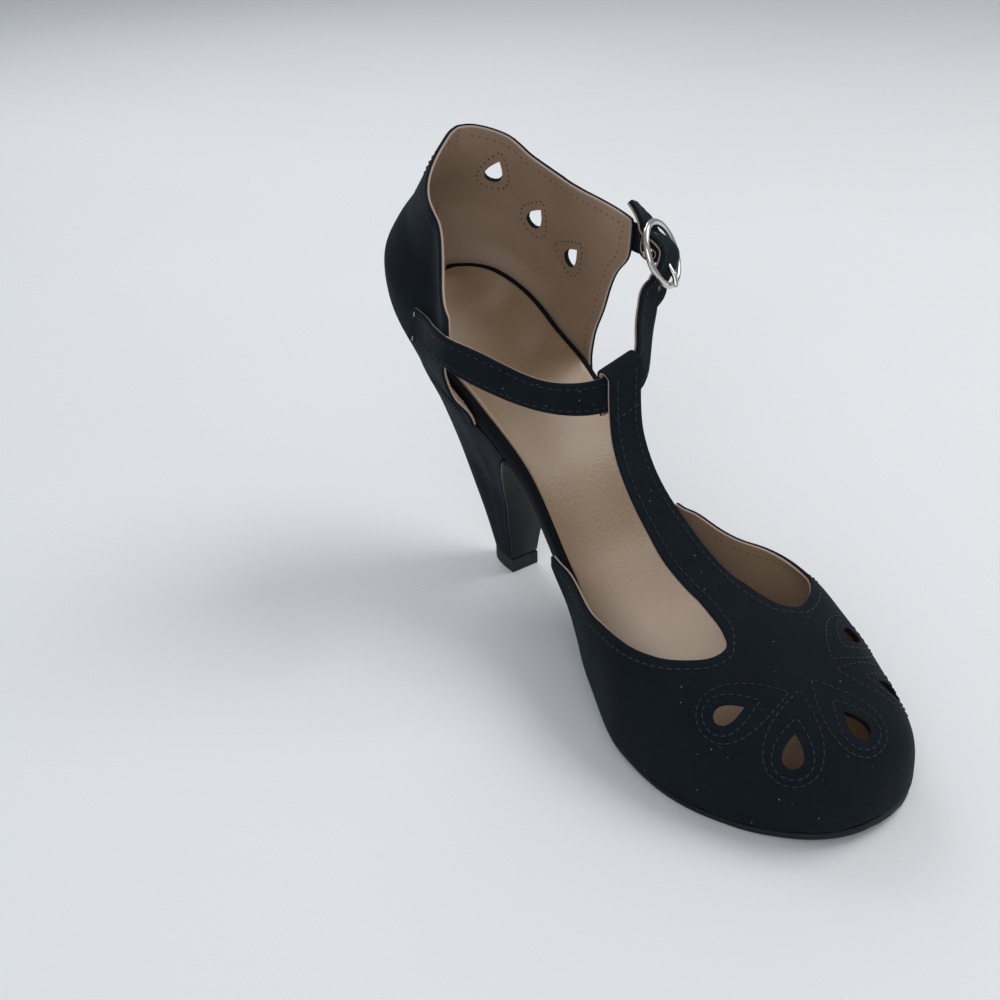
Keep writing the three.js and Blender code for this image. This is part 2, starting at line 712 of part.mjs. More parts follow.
// Points of one rib of the vamp, from the board's edge up to the opening or the neck
function vampRib(foot, head, steps) {
  const top = Math.acos(Math.sqrt(Math.min(1, edgeShare(head.x, head.y))));
  const rib = [];
  for (let i = 0; i <= steps; i++) {
    const target = Math.cos((top * i) / steps) ** 2;
    let low = 0;
    let high = 1;
    for (let k = 0; k < 30; k++) {
      const middle = (low + high) / 2;
      const trial = foot.clone().lerp(head, middle);
      if (edgeShare(trial.x, trial.y) > target) low = middle;
      else high = middle;
    }
    const part = i === 0 ? 0 : i === steps ? 1 : low;
    const place = foot.clone().lerp(head, part);
    rib.push(vampSurface(place.x, place.y));
  }
  return rib;
}

// Ribs of one side, from the wing's tip to the middle of the toe and of the neck
function vampRibs(table, side, ribs, neckRibs, steps) {
  const opening = openingLine(table, side);
  const edge = new Path([...opening, new THREE.Vector2(neckX, rootMiddle.y)]);
  const corner = new Path(opening).length / edge.length;
  const foot = new Path(featherLine(side));
  const footAt = column(fanSections.map((row) => ({ at: row.edge, foot: row.at })), 'foot');
  const list = [];
  for (let i = 0; i <= ribs; i++) {
    const open = ribs - neckRibs;
    const part = i <= open ? (corner * i) / open : mix(corner, 1, (i - open) / neckRibs);
    list.push(vampRib(foot.at(footAt(part)), edge.at(part), steps));
  }
  return list;
}

// The T-strap's outer face, as middle points and directions, from its root to the loop's top and down
// again behind
function strapFrames() {
  const root = vampSurface(rootX, rootMiddle.y);
  const before = vampSurface(rootX + 4, rootMiddle.y);
  const rise = strapLine.map((row) => point(row.at * shoeLength, row.side * ballWidth, row.up * seatHeight));
  const last = rise[rise.length - 1];
  const top = point(last.x, last.y, loopHeight - loopBend);
  const curve = new THREE.CatmullRomCurve3([before, root, ...rise, top], false, 'centripetal');
  const front = new Path(curve.getSpacedPoints(200).filter((p) => p.x < rootX - 0.8));
  const wideAt = column([{ at: 0, wide: 1.02 }, ...strapLine.map((row) => ({
    at: (root.z - row.up * seatHeight) / (root.z - top.z), wide: row.wide,
  }))], 'wide');
  const frames = [];
  for (let i = 0; i <= riseSteps; i++) {
    const part = i / riseSteps;
    const here = front.at(part);
    const ahead = front.at(part + 0.01).sub(front.at(part - 0.01)).normalize();
    const lean = degrees(loopLean) * ease((part - 0.5) / 0.45);
    const across = point(0, Math.cos(lean), Math.sin(lean));
    const away = across.clone().cross(ahead).normalize();
    const wide = tStrapWidth * wideAt(Math.max(0, (root.z - here.z) / (root.z - top.z)));
    frames.push({ here, across, away, wide });
  }
  const { here, across, away, wide } = frames[riseSteps];
  const up = away.clone().cross(across).normalize();
  const centre = here.clone().addScaledVector(away, -loopBend);
  for (let i = 1; i <= foldSteps; i++) {
    const turn = (i / foldSteps) * Math.PI;
    const place = centre.clone().addScaledVector(away, loopBend * Math.cos(turn));
    frames.push({ here: place.addScaledVector(up, loopBend * Math.sin(turn)), across, away, wide });
  }
  for (let i = 1; i <= fallSteps; i++) {
    const down = (i / fallSteps) * loopLayerLength;
    const apart = mix(2 * loopBend, 2 * wall + gap, ease((down - strapWidth - 2) / 6));
    const place = front.at(1 - down / front.length);
    frames.push({ here: place.addScaledVector(away, -apart), across, away, wide: wide * 0.97 });
  }
  return frames;
}

function vampShape() {
  const ribs = 33;
  const neckRibs = 3;
  const steps = 7;
  const inner = vampRibs(medialOpening, medial, ribs, neckRibs, steps);
  const outer = vampRibs(lateralOpening, lateral, ribs, neckRibs, steps);
  const all = [...inner, ...outer.slice(0, -1).reverse()];
  const points = all.flat();
  const faces = gridFaces(all.length, steps + 1);
  // The neck and the strap go on from the heads of the middle ribs
  let before = [];
  for (let i = ribs - neckRibs; i <= ribs + neckRibs; i++) before.push(i * (steps + 1) + steps);
  const addRow = (placeAt) => {
    const next = before.map((_, j) => points.push(placeAt(j / neckRibs - 1)) - 1);
    for (let j = 0; j < next.length - 1; j++) {
      faces.push([before[j], before[j + 1], next[j + 1]], [before[j], next[j + 1], next[j]]);
    }
    before = next;
  };
  for (let i = 1; i <= neckSteps; i++) {
    const x = mix(neckX, rootX, i / neckSteps);
    const edges = { [medial]: neck.medial(share(x)) * ballWidth, [lateral]: neck.lateral(share(x)) * ballWidth };
    addRow((side) => vampSurface(x, mix(rootMiddle.y, edges[side < 0 ? medial : lateral], Math.abs(side))));
  }
  strapFrames().forEach(({ here, across, away, wide }, row) => {
    const crown = mix(0.4, 0, ease(row / (riseSteps - 4)));
    addRow((side) => here.clone().addScaledVector(across, (side * wide) / 2)
      .addScaledVector(away, -crown * side * side));
  });
  const shell = thicken(points, faces, wall);
  const cutters = vampDrops.map(({ at, side, tip }) => {
    const x = at * shoeLength;
    const y = side * ballWidth;
    const ahead = vampSurface(x + 0.5, y).sub(vampSurface(x - 0.5, y));
    const beside = vampSurface(x, y + 0.5).sub(vampSurface(x, y - 0.5));
    const toTip = point(Math.cos(degrees(tip)), Math.sin(degrees(tip)), 0);
    return dropCutter(vampSurface(x, y), ahead.cross(beside).normalize(), toTip);
  });
  return cutAll(shell, cutters);
}

// A prism with a teardrop outline, square to the surface that it cuts
function dropCutter(here, away, toTip) {
  const along = toTip.clone().addScaledVector(away, -toTip.dot(away)).normalize();
  const across = away.clone().cross(along);
  const steps = 16;
  const depth = 5;
  const ring = (offset) => {
    const points = [];
    for (let i = 0; i < steps; i++) {
      const turn = (2 * Math.PI * i) / steps;
      const tip = (dropLength / 2) * Math.cos(turn);
      const wide = (dropWidth / 2) * 1.3 * Math.sin(turn) * Math.pow(Math.abs(Math.sin(turn / 2)), dropPoint);
      points.push(here.clone().addScaledVector(along, tip).addScaledVector(across, wide).addScaledVector(away, offset));
    }
    return points;
  };
  return loft([ring(-depth), ring(depth)]);
}

// Quarter: the heel cup

const cup = readTable(quarterSections);
const cupFront = readTable(quarterFronts);
const topline = readTable(toplineSections);

// Plan of the heel cup at a level, from the back seam (0) to a front edge (1)
function cupPlan(level, along, side) {
  const name = side < 0 ? 'medial' : 'lateral';
  const back = cup.back(level) * quarterLength;
  const round = (side < 0 ? cup.innerRound(level) : cup.round(level)) * quarterLength;
  const wide = cup[name](level) * ballWidth;
  const wideFront = cupFront[name](level) * ballWidth;
  const end = cupFront[`${name}End`](level) * quarterLength;
  if (along < 0.5) {
    const turn = along * Math.PI;
    const power = side < 0 ? 2 / cup.full(level) : 1;
    return new THREE.Vector2(
      back + round * (1 - Math.pow(Math.cos(turn), power)),
      side * wide * Math.pow(Math.sin(turn), power),
    );
  }
  const part = (along - 0.5) * 2;
  return new THREE.Vector2(mix(back + round, end, part), side * mix(wide, wideFront, ease(part)));
}
function cupSurface(level, along, side) {
  const foot = cupPlan(0, along, side);
  const low = boardUnder(foot.x);
  const high = boardUnder(0) + quarterHeight * topline[side < 0 ? 'medial' : 'lateral'](along);
  const plan = cupPlan(level, along, side);
  return point(plan.x, plan.y, mix(low, high, level));
}
function quarterShape() {
  const half = 18;
  const levels = 9;
  const points = [];
  for (let i = -half; i <= half; i++) {
    for (let j = 0; j <= levels; j++) points.push(cupSurface(j / levels, Math.abs(i) / half, i < 0 ? medial : lateral));
  }
  const faces = gridFaces(2 * half + 1, levels + 1).map(([a, b, c]) => [a, c, b]);
  const shell = thicken(points, faces, wall);
  const cutters = quarterDrops.map(({ along, up, tip }) => {
    const here = cupSurface(up, along, lateral);
    const ahead = cupSurface(up, along + 0.02, lateral).sub(cupSurface(up, along - 0.02, lateral)).normalize();
    const above = cupSurface(up + 0.02, along, lateral).sub(cupSurface(up - 0.02, along, lateral)).normalize();
    const away = above.clone().cross(ahead).normalize();
    const toTip = ahead.clone().multiplyScalar(Math.cos(degrees(tip))).addScaledVector(above, Math.sin(degrees(tip)));
    return dropCutter(here, away, toTip);
  });
  return cutAll(shell, cutters);
}

// Flat strap along a smooth line, its width turned as the rows say
function strapShape(rows, width, thickness, steps) {
  const line = new THREE.CatmullRomCurve3(rows.map((row) => row.here), false, 'centripetal');
  const wides = new THREE.CatmullRomCurve3(rows.map((row) => row.wide), false, 'centripetal');
  const rings = [];
  for (let i = 0; i <= steps; i++) {
    const t = i / steps;
    const here = line.getPoint(t);
    const ahead = line.getTangent(t);
    const wide = wides.getPoint(t);
    wide.addScaledVector(ahead, -wide.dot(ahead)).normalize();
    const away = ahead.clone().cross(wide).normalize();
    const corner = (up, out) => here.clone().addScaledVector(wide, up * width / 2).addScaledVector(away, out * thickness / 2);
    rings.push([corner(1, 0.6), corner(1, -0.6), corner(0.95, -1), corner(-0.95, -1),
      corner(-1, -0.6), corner(-1, 0.6), corner(-0.95, 1), corner(0.95, 1)]);
  }
  return loft(rings);
}

const fromTable = (row) => ({
  here: point(row.at * shoeLength, row.side * ballWidth, row.up * seatHeight),
  wide: point(...row.wide),
});

// Buckle: its middle, the way the strap runs through it, across it and out from the foot
const ringMiddle = point(quarterLength + 11.45, 0.398 * ballWidth, 1.187 * seatHeight);
const ringOut = point(0.809, 0.403, 0.428).normalize();
const ringAcross = ringOut.clone().cross(point(-0.514, 0.13, 0.848)).normalize();
const ringUp = ringAcross.clone().cross(ringOut);
const onRing = (up, across, out) => ringMiddle.clone().addScaledVector(ringUp, up)
  .addScaledVector(ringAcross, across).addScaledVector(ringOut, out);
const ringReach = (ringLength - wireDiameter) / 2;
const ringHalf = (ringWidth - wireDiameter) / 2;
const prongEye = barDiameter / 2 + gap + prongDiameter / 2;
const strapUnderRing = -(wireDiameter / 2 + gap + strapThickness / 2);
const strapOverBar = prongEye + prongDiameter / 2 + gap + strapThickness / 2 - barDrop;

function ankleStrapRows() {
  const frames = strapFrames();
  const above = frames[riseSteps - 1];
  const loop = frames[riseSteps - 2];
  const wide = above.here.clone().sub(loop.here).normalize();
  const down = (strapWidth / 2 - 0.3) / above.here.distanceTo(loop.here) - 1;
  const middle = above.here.clone().lerp(loop.here, down).addScaledVector(loop.away, -loopBend);
  const inLoop = (offset) => ({ here: middle.clone().addScaledVector(loop.across, offset), wide });
  const reach = loop.wide / 2 + 1.6;
  const onCup = (along, level) => {
    const here = cupSurface(level, along, medial);
    const wide = cupSurface(level + 0.05, along, medial).sub(here).normalize();
    const ahead = cupSurface(level, along + 0.02, medial).sub(cupSurface(level, along - 0.02, medial));
    const away = ahead.cross(wide).normalize();
    return { here: here.addScaledVector(away, 2 * curvedGap + strapThickness / 2), wide };
  };
  const onBuckle = (up, across, out) => ({ here: onRing(up, across, out), wide: ringAcross });
  return [
    onCup(0.6, 0.43), onCup(0.78, 0.58), onCup(0.97, 0.75),
    ...innerStrap.map(fromTable),
    inLoop(-reach), inLoop(-reach * 0.6), inLoop(0), inLoop(reach * 0.6), inLoop(reach),
    ...outerStrap.map(fromTable),
    onBuckle(-ringReach, 1.6, strapUnderRing - 1.7),
    onBuckle(-ringReach * 0.74, 0.7, strapUnderRing - 0.5),
    onBuckle(-ringReach * 0.32, 0.2, mix(strapUnderRing, strapOverBar, 0.74)),
    onBuckle(0, 0, strapOverBar + 0.1),
    onBuckle(ringReach * 0.32, 0, mix(strapUnderRing, strapOverBar, 0.74)),
    onBuckle(ringReach * 0.74, 0, strapUnderRing - 0.1),
    onBuckle(ringReach, 0, strapUnderRing - 0.6),
    ...strapTail.map(fromTable),
  ];
}
function ankleStrapShape() {
  const strap = strapShape(ankleStrapRows(), strapWidth, strapThickness, 52);
  return cutAll(strap, [rod(prongLine(), prongDiameter / 2 + gap)]);
}

// Short strap: sewn on the outer tab, folded round the middle bar and slit there for the prong's eye
function tabStrapShape() {
  const fold = barDiameter / 2 + gap + tabStrapThickness / 2;
  const bar = onRing(0, 0, -barDrop);
  const tab = tabStrap.map(fromTable);
  const back = tab[1].here.clone().sub(bar);
  back.addScaledVector(ringAcross, -back.dot(ringAcross)).normalize();
  const side = ringAcross.clone().cross(back).normalize();
  const onBar = (along, beside) => ({
    here: bar.clone().addScaledVector(back, along).addScaledVector(side, beside), wide: ringAcross,
  });
  const rows = [...tab, onBar(2.4, fold)];
  for (let i = 0; i <= 6; i++) {
    const turn = (i / 6) * Math.PI;
    rows.push(onBar(-fold * Math.sin(turn), fold * Math.cos(turn)));
  }
  rows.push(onBar(5, -fold));
  const strap = strapShape(rows, tabStrapWidth, tabStrapThickness, 22);
  const slit = prongDiameter / 2 + gap;
  const ring = (across) => [[-5, -4], [3.2, -4], [3.2, 4], [-5, 4]].map(([along, beside]) => (
    onBar(along, beside).here.addScaledVector(ringAcross, across)));
  return cutAll(strap, [loft([ring(-slit), ring(slit)])]);
}

// A round bar along a smooth line through points
function rod(points, radius) {
  const line = new THREE.CatmullRomCurve3(points, false, 'centripetal');
  const section = new THREE.Shape();
  section.absarc(0, 0, radius, 0, 2 * Math.PI);
  return new THREE.ExtrudeGeometry(section, { steps: 7, curveSegments: 4, extrudePath: line });
}

function ringShape() {
  const points = [];
  for (let i = 0; i < 32; i++) {
    const turn = (2 * Math.PI * i) / 32;
    points.push(onRing(ringReach * Math.cos(turn), ringHalf * Math.sin(turn), 0));
  }
  const ring = new THREE.TubeGeometry(new THREE.CatmullRomCurve3(points, true), 32, wireDiameter / 2, 7, true);
  const bar = rod([-1, -0.5, 0.5, 1].map((side) => onRing(0, side * ringHalf, -barDrop)), barDiameter / 2);
  return joinAll([ring, bar]);
}

const prongLine = () => [
  onRing(-prongEye * 0.5, 0, prongEye * 0.87 - barDrop),
  onRing(-ringReach * 0.45, 0, wireDiameter / 2 + 0.4),
  onRing(-ringReach * 0.8, 0, wireDiameter / 2 + gap + prongDiameter / 2 + 0.2),
  onRing(-ringReach - 1.2, 0, wireDiameter / 2 + gap + prongDiameter / 2 + 0.1),
];
function prongShape() {
  const turns = [];
  for (let i = 0; i < 12; i++) {
    const turn = (2 * Math.PI * i) / 12;
    turns.push(onRing(prongEye * Math.cos(turn), 0, prongEye * Math.sin(turn) - barDrop));
  }
  const eye = new THREE.TubeGeometry(new THREE.CatmullRomCurve3(turns, true), 16, prongDiameter / 2, 7, true);
  return joinAll([eye, rod(prongLine(), prongDiameter / 2)]);
}

// Materials

const finish = (color, roughness, metalness) => new THREE.MeshStandardMaterial({ color, roughness, metalness });
const suede = finish(0x151c26, 0.95, 0);
const synthetic = finish(0x1d2126, 0.6, 0);
const tan = finish(0xa08468, 0.6, 0);
const rubber = finish(0x2b2d30, 0.8, 0);
const nickel = finish(0xc8c6c2, 0.25, 1);

// The shoe

const shoe = new THREE.Group();
shoe.position.set(-(tipFront - tipLength / 2), -tipShift, 0);

function add(name, shape, material) {
  const mesh = new THREE.Mesh(shape, material);
  mesh.name = name;
  shoe.add(mesh);
}

const cupDepth = (x) => footbedCup * ease(x / 12) * ease((shoeLength - 30 - x) / 40);
add('outsole', soleShape(), synthetic);
add('insole_board', footbedSlab({
  grow: 0, top: footbed, under: boardUnder, cup: cupDepth, stations: 36,
}), suede);
add('sock', footbedSlab({
  grow: -rimWidth, top: (x) => footbed(x) + curvedGap + sockThickness, under: (x) => footbed(x) + curvedGap,
  cup: cupDepth, underCup: cupDepth, stations: 36,
}), tan);
add('heel', heelShape(), suede);
add('top_lift', liftShape(), rubber);
add('vamp', vampShape(), suede);
add('quarter', quarterShape(), suede);
add('ankle_strap', ankleStrapShape(), suede);
add('buckle_strap', tabStrapShape(), suede);
add('buckle_frame', ringShape(), nickel);
add('buckle_prong', prongShape(), nickel);

const group = new THREE.Group();
group.add(shoe);

export default group;
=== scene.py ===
import math

import bpy
import numpy as np
from mathutils import Matrix, Vector


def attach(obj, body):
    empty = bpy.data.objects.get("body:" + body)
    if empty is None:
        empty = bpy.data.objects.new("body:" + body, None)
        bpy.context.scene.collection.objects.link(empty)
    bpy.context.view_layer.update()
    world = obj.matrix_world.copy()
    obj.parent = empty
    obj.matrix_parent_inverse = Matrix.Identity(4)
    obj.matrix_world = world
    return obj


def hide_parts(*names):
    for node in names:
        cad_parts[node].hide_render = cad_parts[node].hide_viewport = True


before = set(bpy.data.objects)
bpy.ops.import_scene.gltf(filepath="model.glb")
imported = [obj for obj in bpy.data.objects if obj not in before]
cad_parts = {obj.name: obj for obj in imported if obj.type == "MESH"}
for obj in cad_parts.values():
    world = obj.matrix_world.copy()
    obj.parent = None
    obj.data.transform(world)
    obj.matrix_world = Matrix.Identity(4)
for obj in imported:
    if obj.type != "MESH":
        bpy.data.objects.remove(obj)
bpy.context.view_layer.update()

# Sizes in millimetres, as in the solids
LENGTH = 217.5
BALL = 77.0
SEAT = 109.0
SPRING = 3.4
VAMP = 40.0
CUP_HEIGHT = 58.0
CUP_LENGTH = 70.5
GAP = 0.3
CURVED_GAP = 0.45
SOLE = 2.2
SOLE_FLAP = 1.3
BOARD = 4.5
BOARD_TOE = 2.8
FOOTBED_CUP = 1.2
SOCK = 0.9
RIM = 2.6
WALL = 1.8
STANDOUT = 2.7
TIP_LENGTH = 14.5
TIP_WIDTH = 11.8
TIP_FRONT = 41.5
TIP_SHIFT = 2.2
LIFT = 5.5
BREAST_TOP = 63.0
STRAP_WIDTH = 11.4
STRAP_THICK = 2.0
ROOT_WIDTH = 16.4
LOOP_HEIGHT = 104.7
LOOP_SLACK = 0.6
LOOP_LAYER = 14.0
LOOP_LEAN = 15.0
TAB_WIDTH = 10.0
TAB_THICK = 1.3
RING_LENGTH = 23.4
RING_WIDTH = 22.0
WIRE = 2.2
BAR = 1.8
BAR_DROP = 1.5
PRONG = 1.5
DROP_LENGTH = 10.0
DROP_WIDTH = 6.4
DROP_POINT = 1.15
ROUND_HEEL = 30.0
TOE_START = 160.0
TOE_FULL = 2.42
VAMP_FULL = 2.8
TIP_FULL = 2.4
# Sizes that only this model has: seams, stitch rows, holes and cutters
BOARD_RISE = 1.0
BOARD_DISH = 1.6
SOLE_REACH = 1.9
VAMP_STITCH = 3.0
VAMP_LINING_STITCH = 3.4
CUP_STITCH = 3.2
CUP_FRONT_STITCH = 3.0
LOOP_SEAM = 13.2
STRAP_STITCH = 1.9
HOLE_PLACES = (-12.5, 7.5)
HOLE_RADIUS = 0.85
CUTTER_DEPTH = 5
PETAL_ROWS = ((7.2, 5.4, 0.7), (17.5, 10.4, 4.0))
CUP_PETAL = (7.5, 5.5, 0.7)
CUP_STEP = 0.02
ORIGIN = np.array([TIP_FRONT - TIP_LENGTH / 2, TIP_SHIFT, 0.0])
MEDIAL, LATERAL = -1, 1


def table(names, rows):
    names = names.split()
    cols = list(zip(*rows))
    return {name: list(col) for name, col in zip(names, cols)}


def column(tab, name):
    """A smooth curve through one column of a table, with no overshoot."""
    at, values = tab["at"], tab[name]
    last = len(at) - 1
    slopes = [(values[i + 1] - values[i]) / (at[i + 1] - at[i]) for i in range(last)]
    tangents = [slopes[0]]
    for i in range(1, last):
        a, b = slopes[i - 1], slopes[i]
        tangents.append(0 if a * b <= 0 else 2 * a * b / (a + b))
    tangents.append(slopes[-1])

    def read(place):
        x = min(max(place, at[0]), at[last])
        i = 0
        while i < last - 1 and x > at[i + 1]:
            i += 1
        step = at[i + 1] - at[i]
        t = (x - at[i]) / step
        r = 1 - t
        return (values[i] * r * r * (1 + 2 * t) + values[i + 1] * t * t * (3 - 2 * t)
                + step * (tangents[i] * t * r * r - tangents[i + 1] * t * t * r))
    return read


def mix(a, b, t):
    return a + (b - a) * t


def ease(t):
    c = min(max(t, 0.0), 1.0)
    return c * c * (3 - 2 * c)


def unit(v):
    v = np.asarray(v, float)
    return v / max(np.linalg.norm(v), 1e-12)


def vec(*v):
    return np.array(v, float)


PROFILE = table("at rise spring board", [
    (0, 1, 0, 1), (0.027, 0.98, 0, 1), (0.068, 0.925, 0, 1), (0.137, 0.824, 0, 1),
    (0.228, 0.708, 0, 1), (0.342, 0.525, 0, 1), (0.457, 0.283, 0, 1), (0.571, 0.112, 0, 0.6),
    (0.685, 0.025, 0, 0.1), (0.781, 0, 0, 0), (0.881, 0, 0, 0), (1, 0, 1, 0)])
WIDTHS = table("at medial lateral", [
    (0, 0.344, 0.344), (0.137, 0.342, 0.345), (0.228, 0.31, 0.365), (0.342, 0.266, 0.362),
    (0.457, 0.291, 0.406), (0.571, 0.406, 0.456), (0.685, 0.508, 0.488), (0.731, 0.514, 0.488),
    (0.799, 0.506, 0.479), (0.872, 0.474, 0.44), (0.941, 0.442, 0.406), (1, 0.442, 0.403)])
CRESTS = table("at crest", [
    (0.41, 1.13), (0.571, 1.09), (0.676, 1.02), (0.731, 1), (0.776, 0.968), (0.831, 0.942),
    (0.89, 0.925), (0.941, 0.942), (1, 1)])
BULGES = table("at out", [
    (0.41, 0), (0.52, 0.05), (0.6, 0.072), (0.7, 0.072), (0.76, 0.045), (0.83, 0.01), (0.9, 0), (1, 0)])
MEDIAL_OPENING = [
    (0.427, 1.9), (0.44, 3.4), (0.47, 8), (0.516, 14.3), (0.553, 19.8), (0.619, 32), (0.67, 41.5),
    (0.709, 48.8), (0.738, 57), (0.755, 64), (0.76, 70), (0.757, 74), (0.748, 76.3)]
LATERAL_OPENING = [
    (0.427, 1.9), (0.44, 3.4), (0.47, 8.5), (0.516, 14.3), (0.553, 19.8), (0.619, 32), (0.668, 41.5),
    (0.71, 50), (0.735, 58), (0.75, 66), (0.754, 72), (0.748, 75.6)]
NECK = table("at medial lateral", [
    (0.676, -0.117, 0.101), (0.705, -0.129, 0.114), (0.732, -0.145, 0.132), (0.748, -0.168, 0.155)])
FAN = table("at edge", [
    (0, 0), (0.22, 0.28), (0.42, 0.52), (0.6, 0.67), (0.76, 0.78), (0.9, 0.89), (1, 1)])
STRAP_LINE = [
    (0.648, -0.008, 0.437, 1), (0.605, -0.013, 0.477, 0.98), (0.562, -0.006, 0.529, 0.9),
    (0.522, 0.003, 0.583, 0.82), (0.491, 0.006, 0.651, 0.77), (0.468, 0.01, 0.734, 0.74),
    (0.457, 0.018, 0.826, 0.76), (0.453, 0.026, 0.9, 0.8)]
ROOT_AT, ROOT_SIDE = 0.676, -0.008
CUPS = table("at back round inner full medial lateral", [
    (0, -0.03, 0.455, 0.455, 2, 0.371, 0.374), (0.08, -0.047, 0.468, 0.465, 2.1, 0.395, 0.385),
    (0.25, -0.085, 0.505, 0.5, 2.4, 0.44, 0.4), (0.42, -0.075, 0.525, 0.52, 2.5, 0.455, 0.4),
    (0.6, -0.015, 0.505, 0.5, 2.4, 0.415, 0.385), (0.7, 0.04, 0.475, 0.475, 2.2, 0.385, 0.37),
    (0.77, 0.077, 0.45, 0.45, 2.1, 0.385, 0.36), (0.85, 0.113, 0.425, 0.43, 1.9, 0.39, 0.345),
    (1, 0.16, 0.4, 0.42, 1.5, 0.4, 0.315)])
FRONTS = table("at medial lateral medial_end lateral_end", [
    (0, 0.337, 0.392, 0.737, 0.69), (0.08, 0.352, 0.393, 0.73, 0.68), (0.25, 0.43, 0.393, 0.725, 0.705),
    (0.42, 0.475, 0.39, 0.735, 0.775), (0.6, 0.515, 0.385, 0.79, 0.84), (0.7, 0.537, 0.38, 0.855, 0.895),
    (0.77, 0.548, 0.378, 0.9, 0.96), (0.85, 0.552, 0.374, 0.905, 0.985), (1, 0.55, 0.37, 0.905, 1)])
TOPS = table("at medial lateral", [
    (0, 1, 1), (0.06, 0.985, 0.997), (0.12, 0.94, 0.98), (0.24, 0.85, 0.92), (0.35, 0.78, 0.805),
    (0.48, 0.71, 0.73), (0.62, 0.61, 0.69), (0.78, 0.42, 0.65), (0.92, 0.32, 0.61), (1, 0.27, 0.585)])
HEELS = table("at side back breast", [
    (0, 0, 0, 0), (0.15, 0.06, 0.14, 0.04), (0.3, 0.15, 0.3, 0.09), (0.45, 0.25, 0.46, 0.18),
    (0.6, 0.43, 0.62, 0.31), (0.75, 0.63, 0.78, 0.49), (0.88, 0.83, 0.92, 0.71), (0.95, 0.94, 0.98, 0.86),
    (1, 1, 1, 1)])
INNER_STRAP = [
    (0.304, -0.578, 1.015, (0.2, -0.1, 1)), (0.321, -0.5, 0.967, (0.1, 0, 1)),
    (0.344, -0.379, 0.908, (0.15, -0.06, 1)), (0.371, -0.282, 0.858, (0.2, -0.1, 0.97)),
    (0.404, -0.19, 0.845, (0.12, -0.05, 1))]
OUTER_STRAP = [
    (0.43, 0.181, 0.938, (0.04, -0.25, 0.92)), (0.42, 0.19, 0.988, (0.16, -0.65, 0.74)),
    (0.409, 0.226, 1.026, (0.22, -0.78, 0.58)), (0.397, 0.271, 1.075, (0.26, -0.86, 0.44))]
STRAP_TAIL = [(0.331, 0.392, 1.284, (0.45, -0.8, 0.35)), (0.315, 0.378, 1.316, (0.6, -0.72, 0.3))]
TAB_STRAP = [(0.289, 0.392, 1.207, (0, 0, 1)), (0.322, 0.392, 1.207, (0, 0, 1))]
VAMP_DROPS = [(0.826, -0.365, 72), (0.915, -0.285, 128), (0.942, -0.042, 180), (0.909, 0.266, -123),
              (0.822, 0.309, -74)]
CUP_DROPS = [(0.2, 0.74, 82), (0.375, 0.6, 70), (0.6, 0.55, 62)]

rise_at, spring_at, board_at = (column(PROFILE, n) for n in ("rise", "spring", "board"))
width_at = {MEDIAL: column(WIDTHS, "medial"), LATERAL: column(WIDTHS, "lateral")}
crest_at, bulge_at = column(CRESTS, "crest"), column(BULGES, "out")
TREAD_TOP = SOLE + CURVED_GAP + BOARD_TOE


def footbed(x):
    s = x / LENGTH
    return TREAD_TOP + (SEAT - TREAD_TOP) * rise_at(s) + SPRING * spring_at(s)


def board_under(x):
    return footbed(x) - mix(BOARD_TOE, BOARD, board_at(x / LENGTH))


def sole_top(x):
    return board_under(x) - CURVED_GAP


def body_width(x, side, grow):
    return BALL * width_at[side](x / LENGTH) + grow


def half_width(x, side, grow):
    body = body_width(x, side, grow)
    if x < ROUND_HEEL:
        back = (ROUND_HEEL - x) / (ROUND_HEEL + grow)
        return body * math.sqrt(max(0, 1 - back * back))
    if x > TOE_START:
        front = (x - TOE_START) / (LENGTH - STANDOUT + grow - TOE_START)
        return body * max(0, 1 - front ** TOE_FULL) ** (1 / TOE_FULL)
    return body


def edge_share(x, y):
    front = max(0, (x - TOE_START) / (LENGTH - TOE_START))
    across = abs(y) / body_width(x, MEDIAL if y < 0 else LATERAL, STANDOUT)
    return front ** TOE_FULL + across ** TOE_FULL


def vamp_surface(x, y):
    near = min(1, edge_share(x, y))
    height = VAMP * crest_at(x / LENGTH) * (1 - near) ** (1 / VAMP_FULL)
    side = ease(y / (BALL * 0.2)) * 4 * near * (1 - near)
    bulge = BALL * bulge_at(x / LENGTH) * side
    return vec(x, y + bulge, board_under(x) + height + bulge * 0.45)


def vamp_normal(x, y):
    ahead = vamp_surface(x + 0.4, y) - vamp_surface(x - 0.4, y)
    beside = vamp_surface(x, y + 0.4) - vamp_surface(x, y - 0.4)
    return unit(np.cross(ahead, beside))


class Path:
    """Even steps along a line of points."""

    def __init__(self, points):
        self.points = np.array(points, float)
        steps = np.linalg.norm(np.diff(self.points, axis=0), axis=1)
        self.lengths = np.concatenate([[0], np.cumsum(steps)])
        self.length = self.lengths[-1]

    def at(self, part):
        target = min(max(part, 0), 1) * self.length
        return vec(*(np.interp(target, self.lengths, self.points[:, k]) for k in range(self.points.shape[1])))


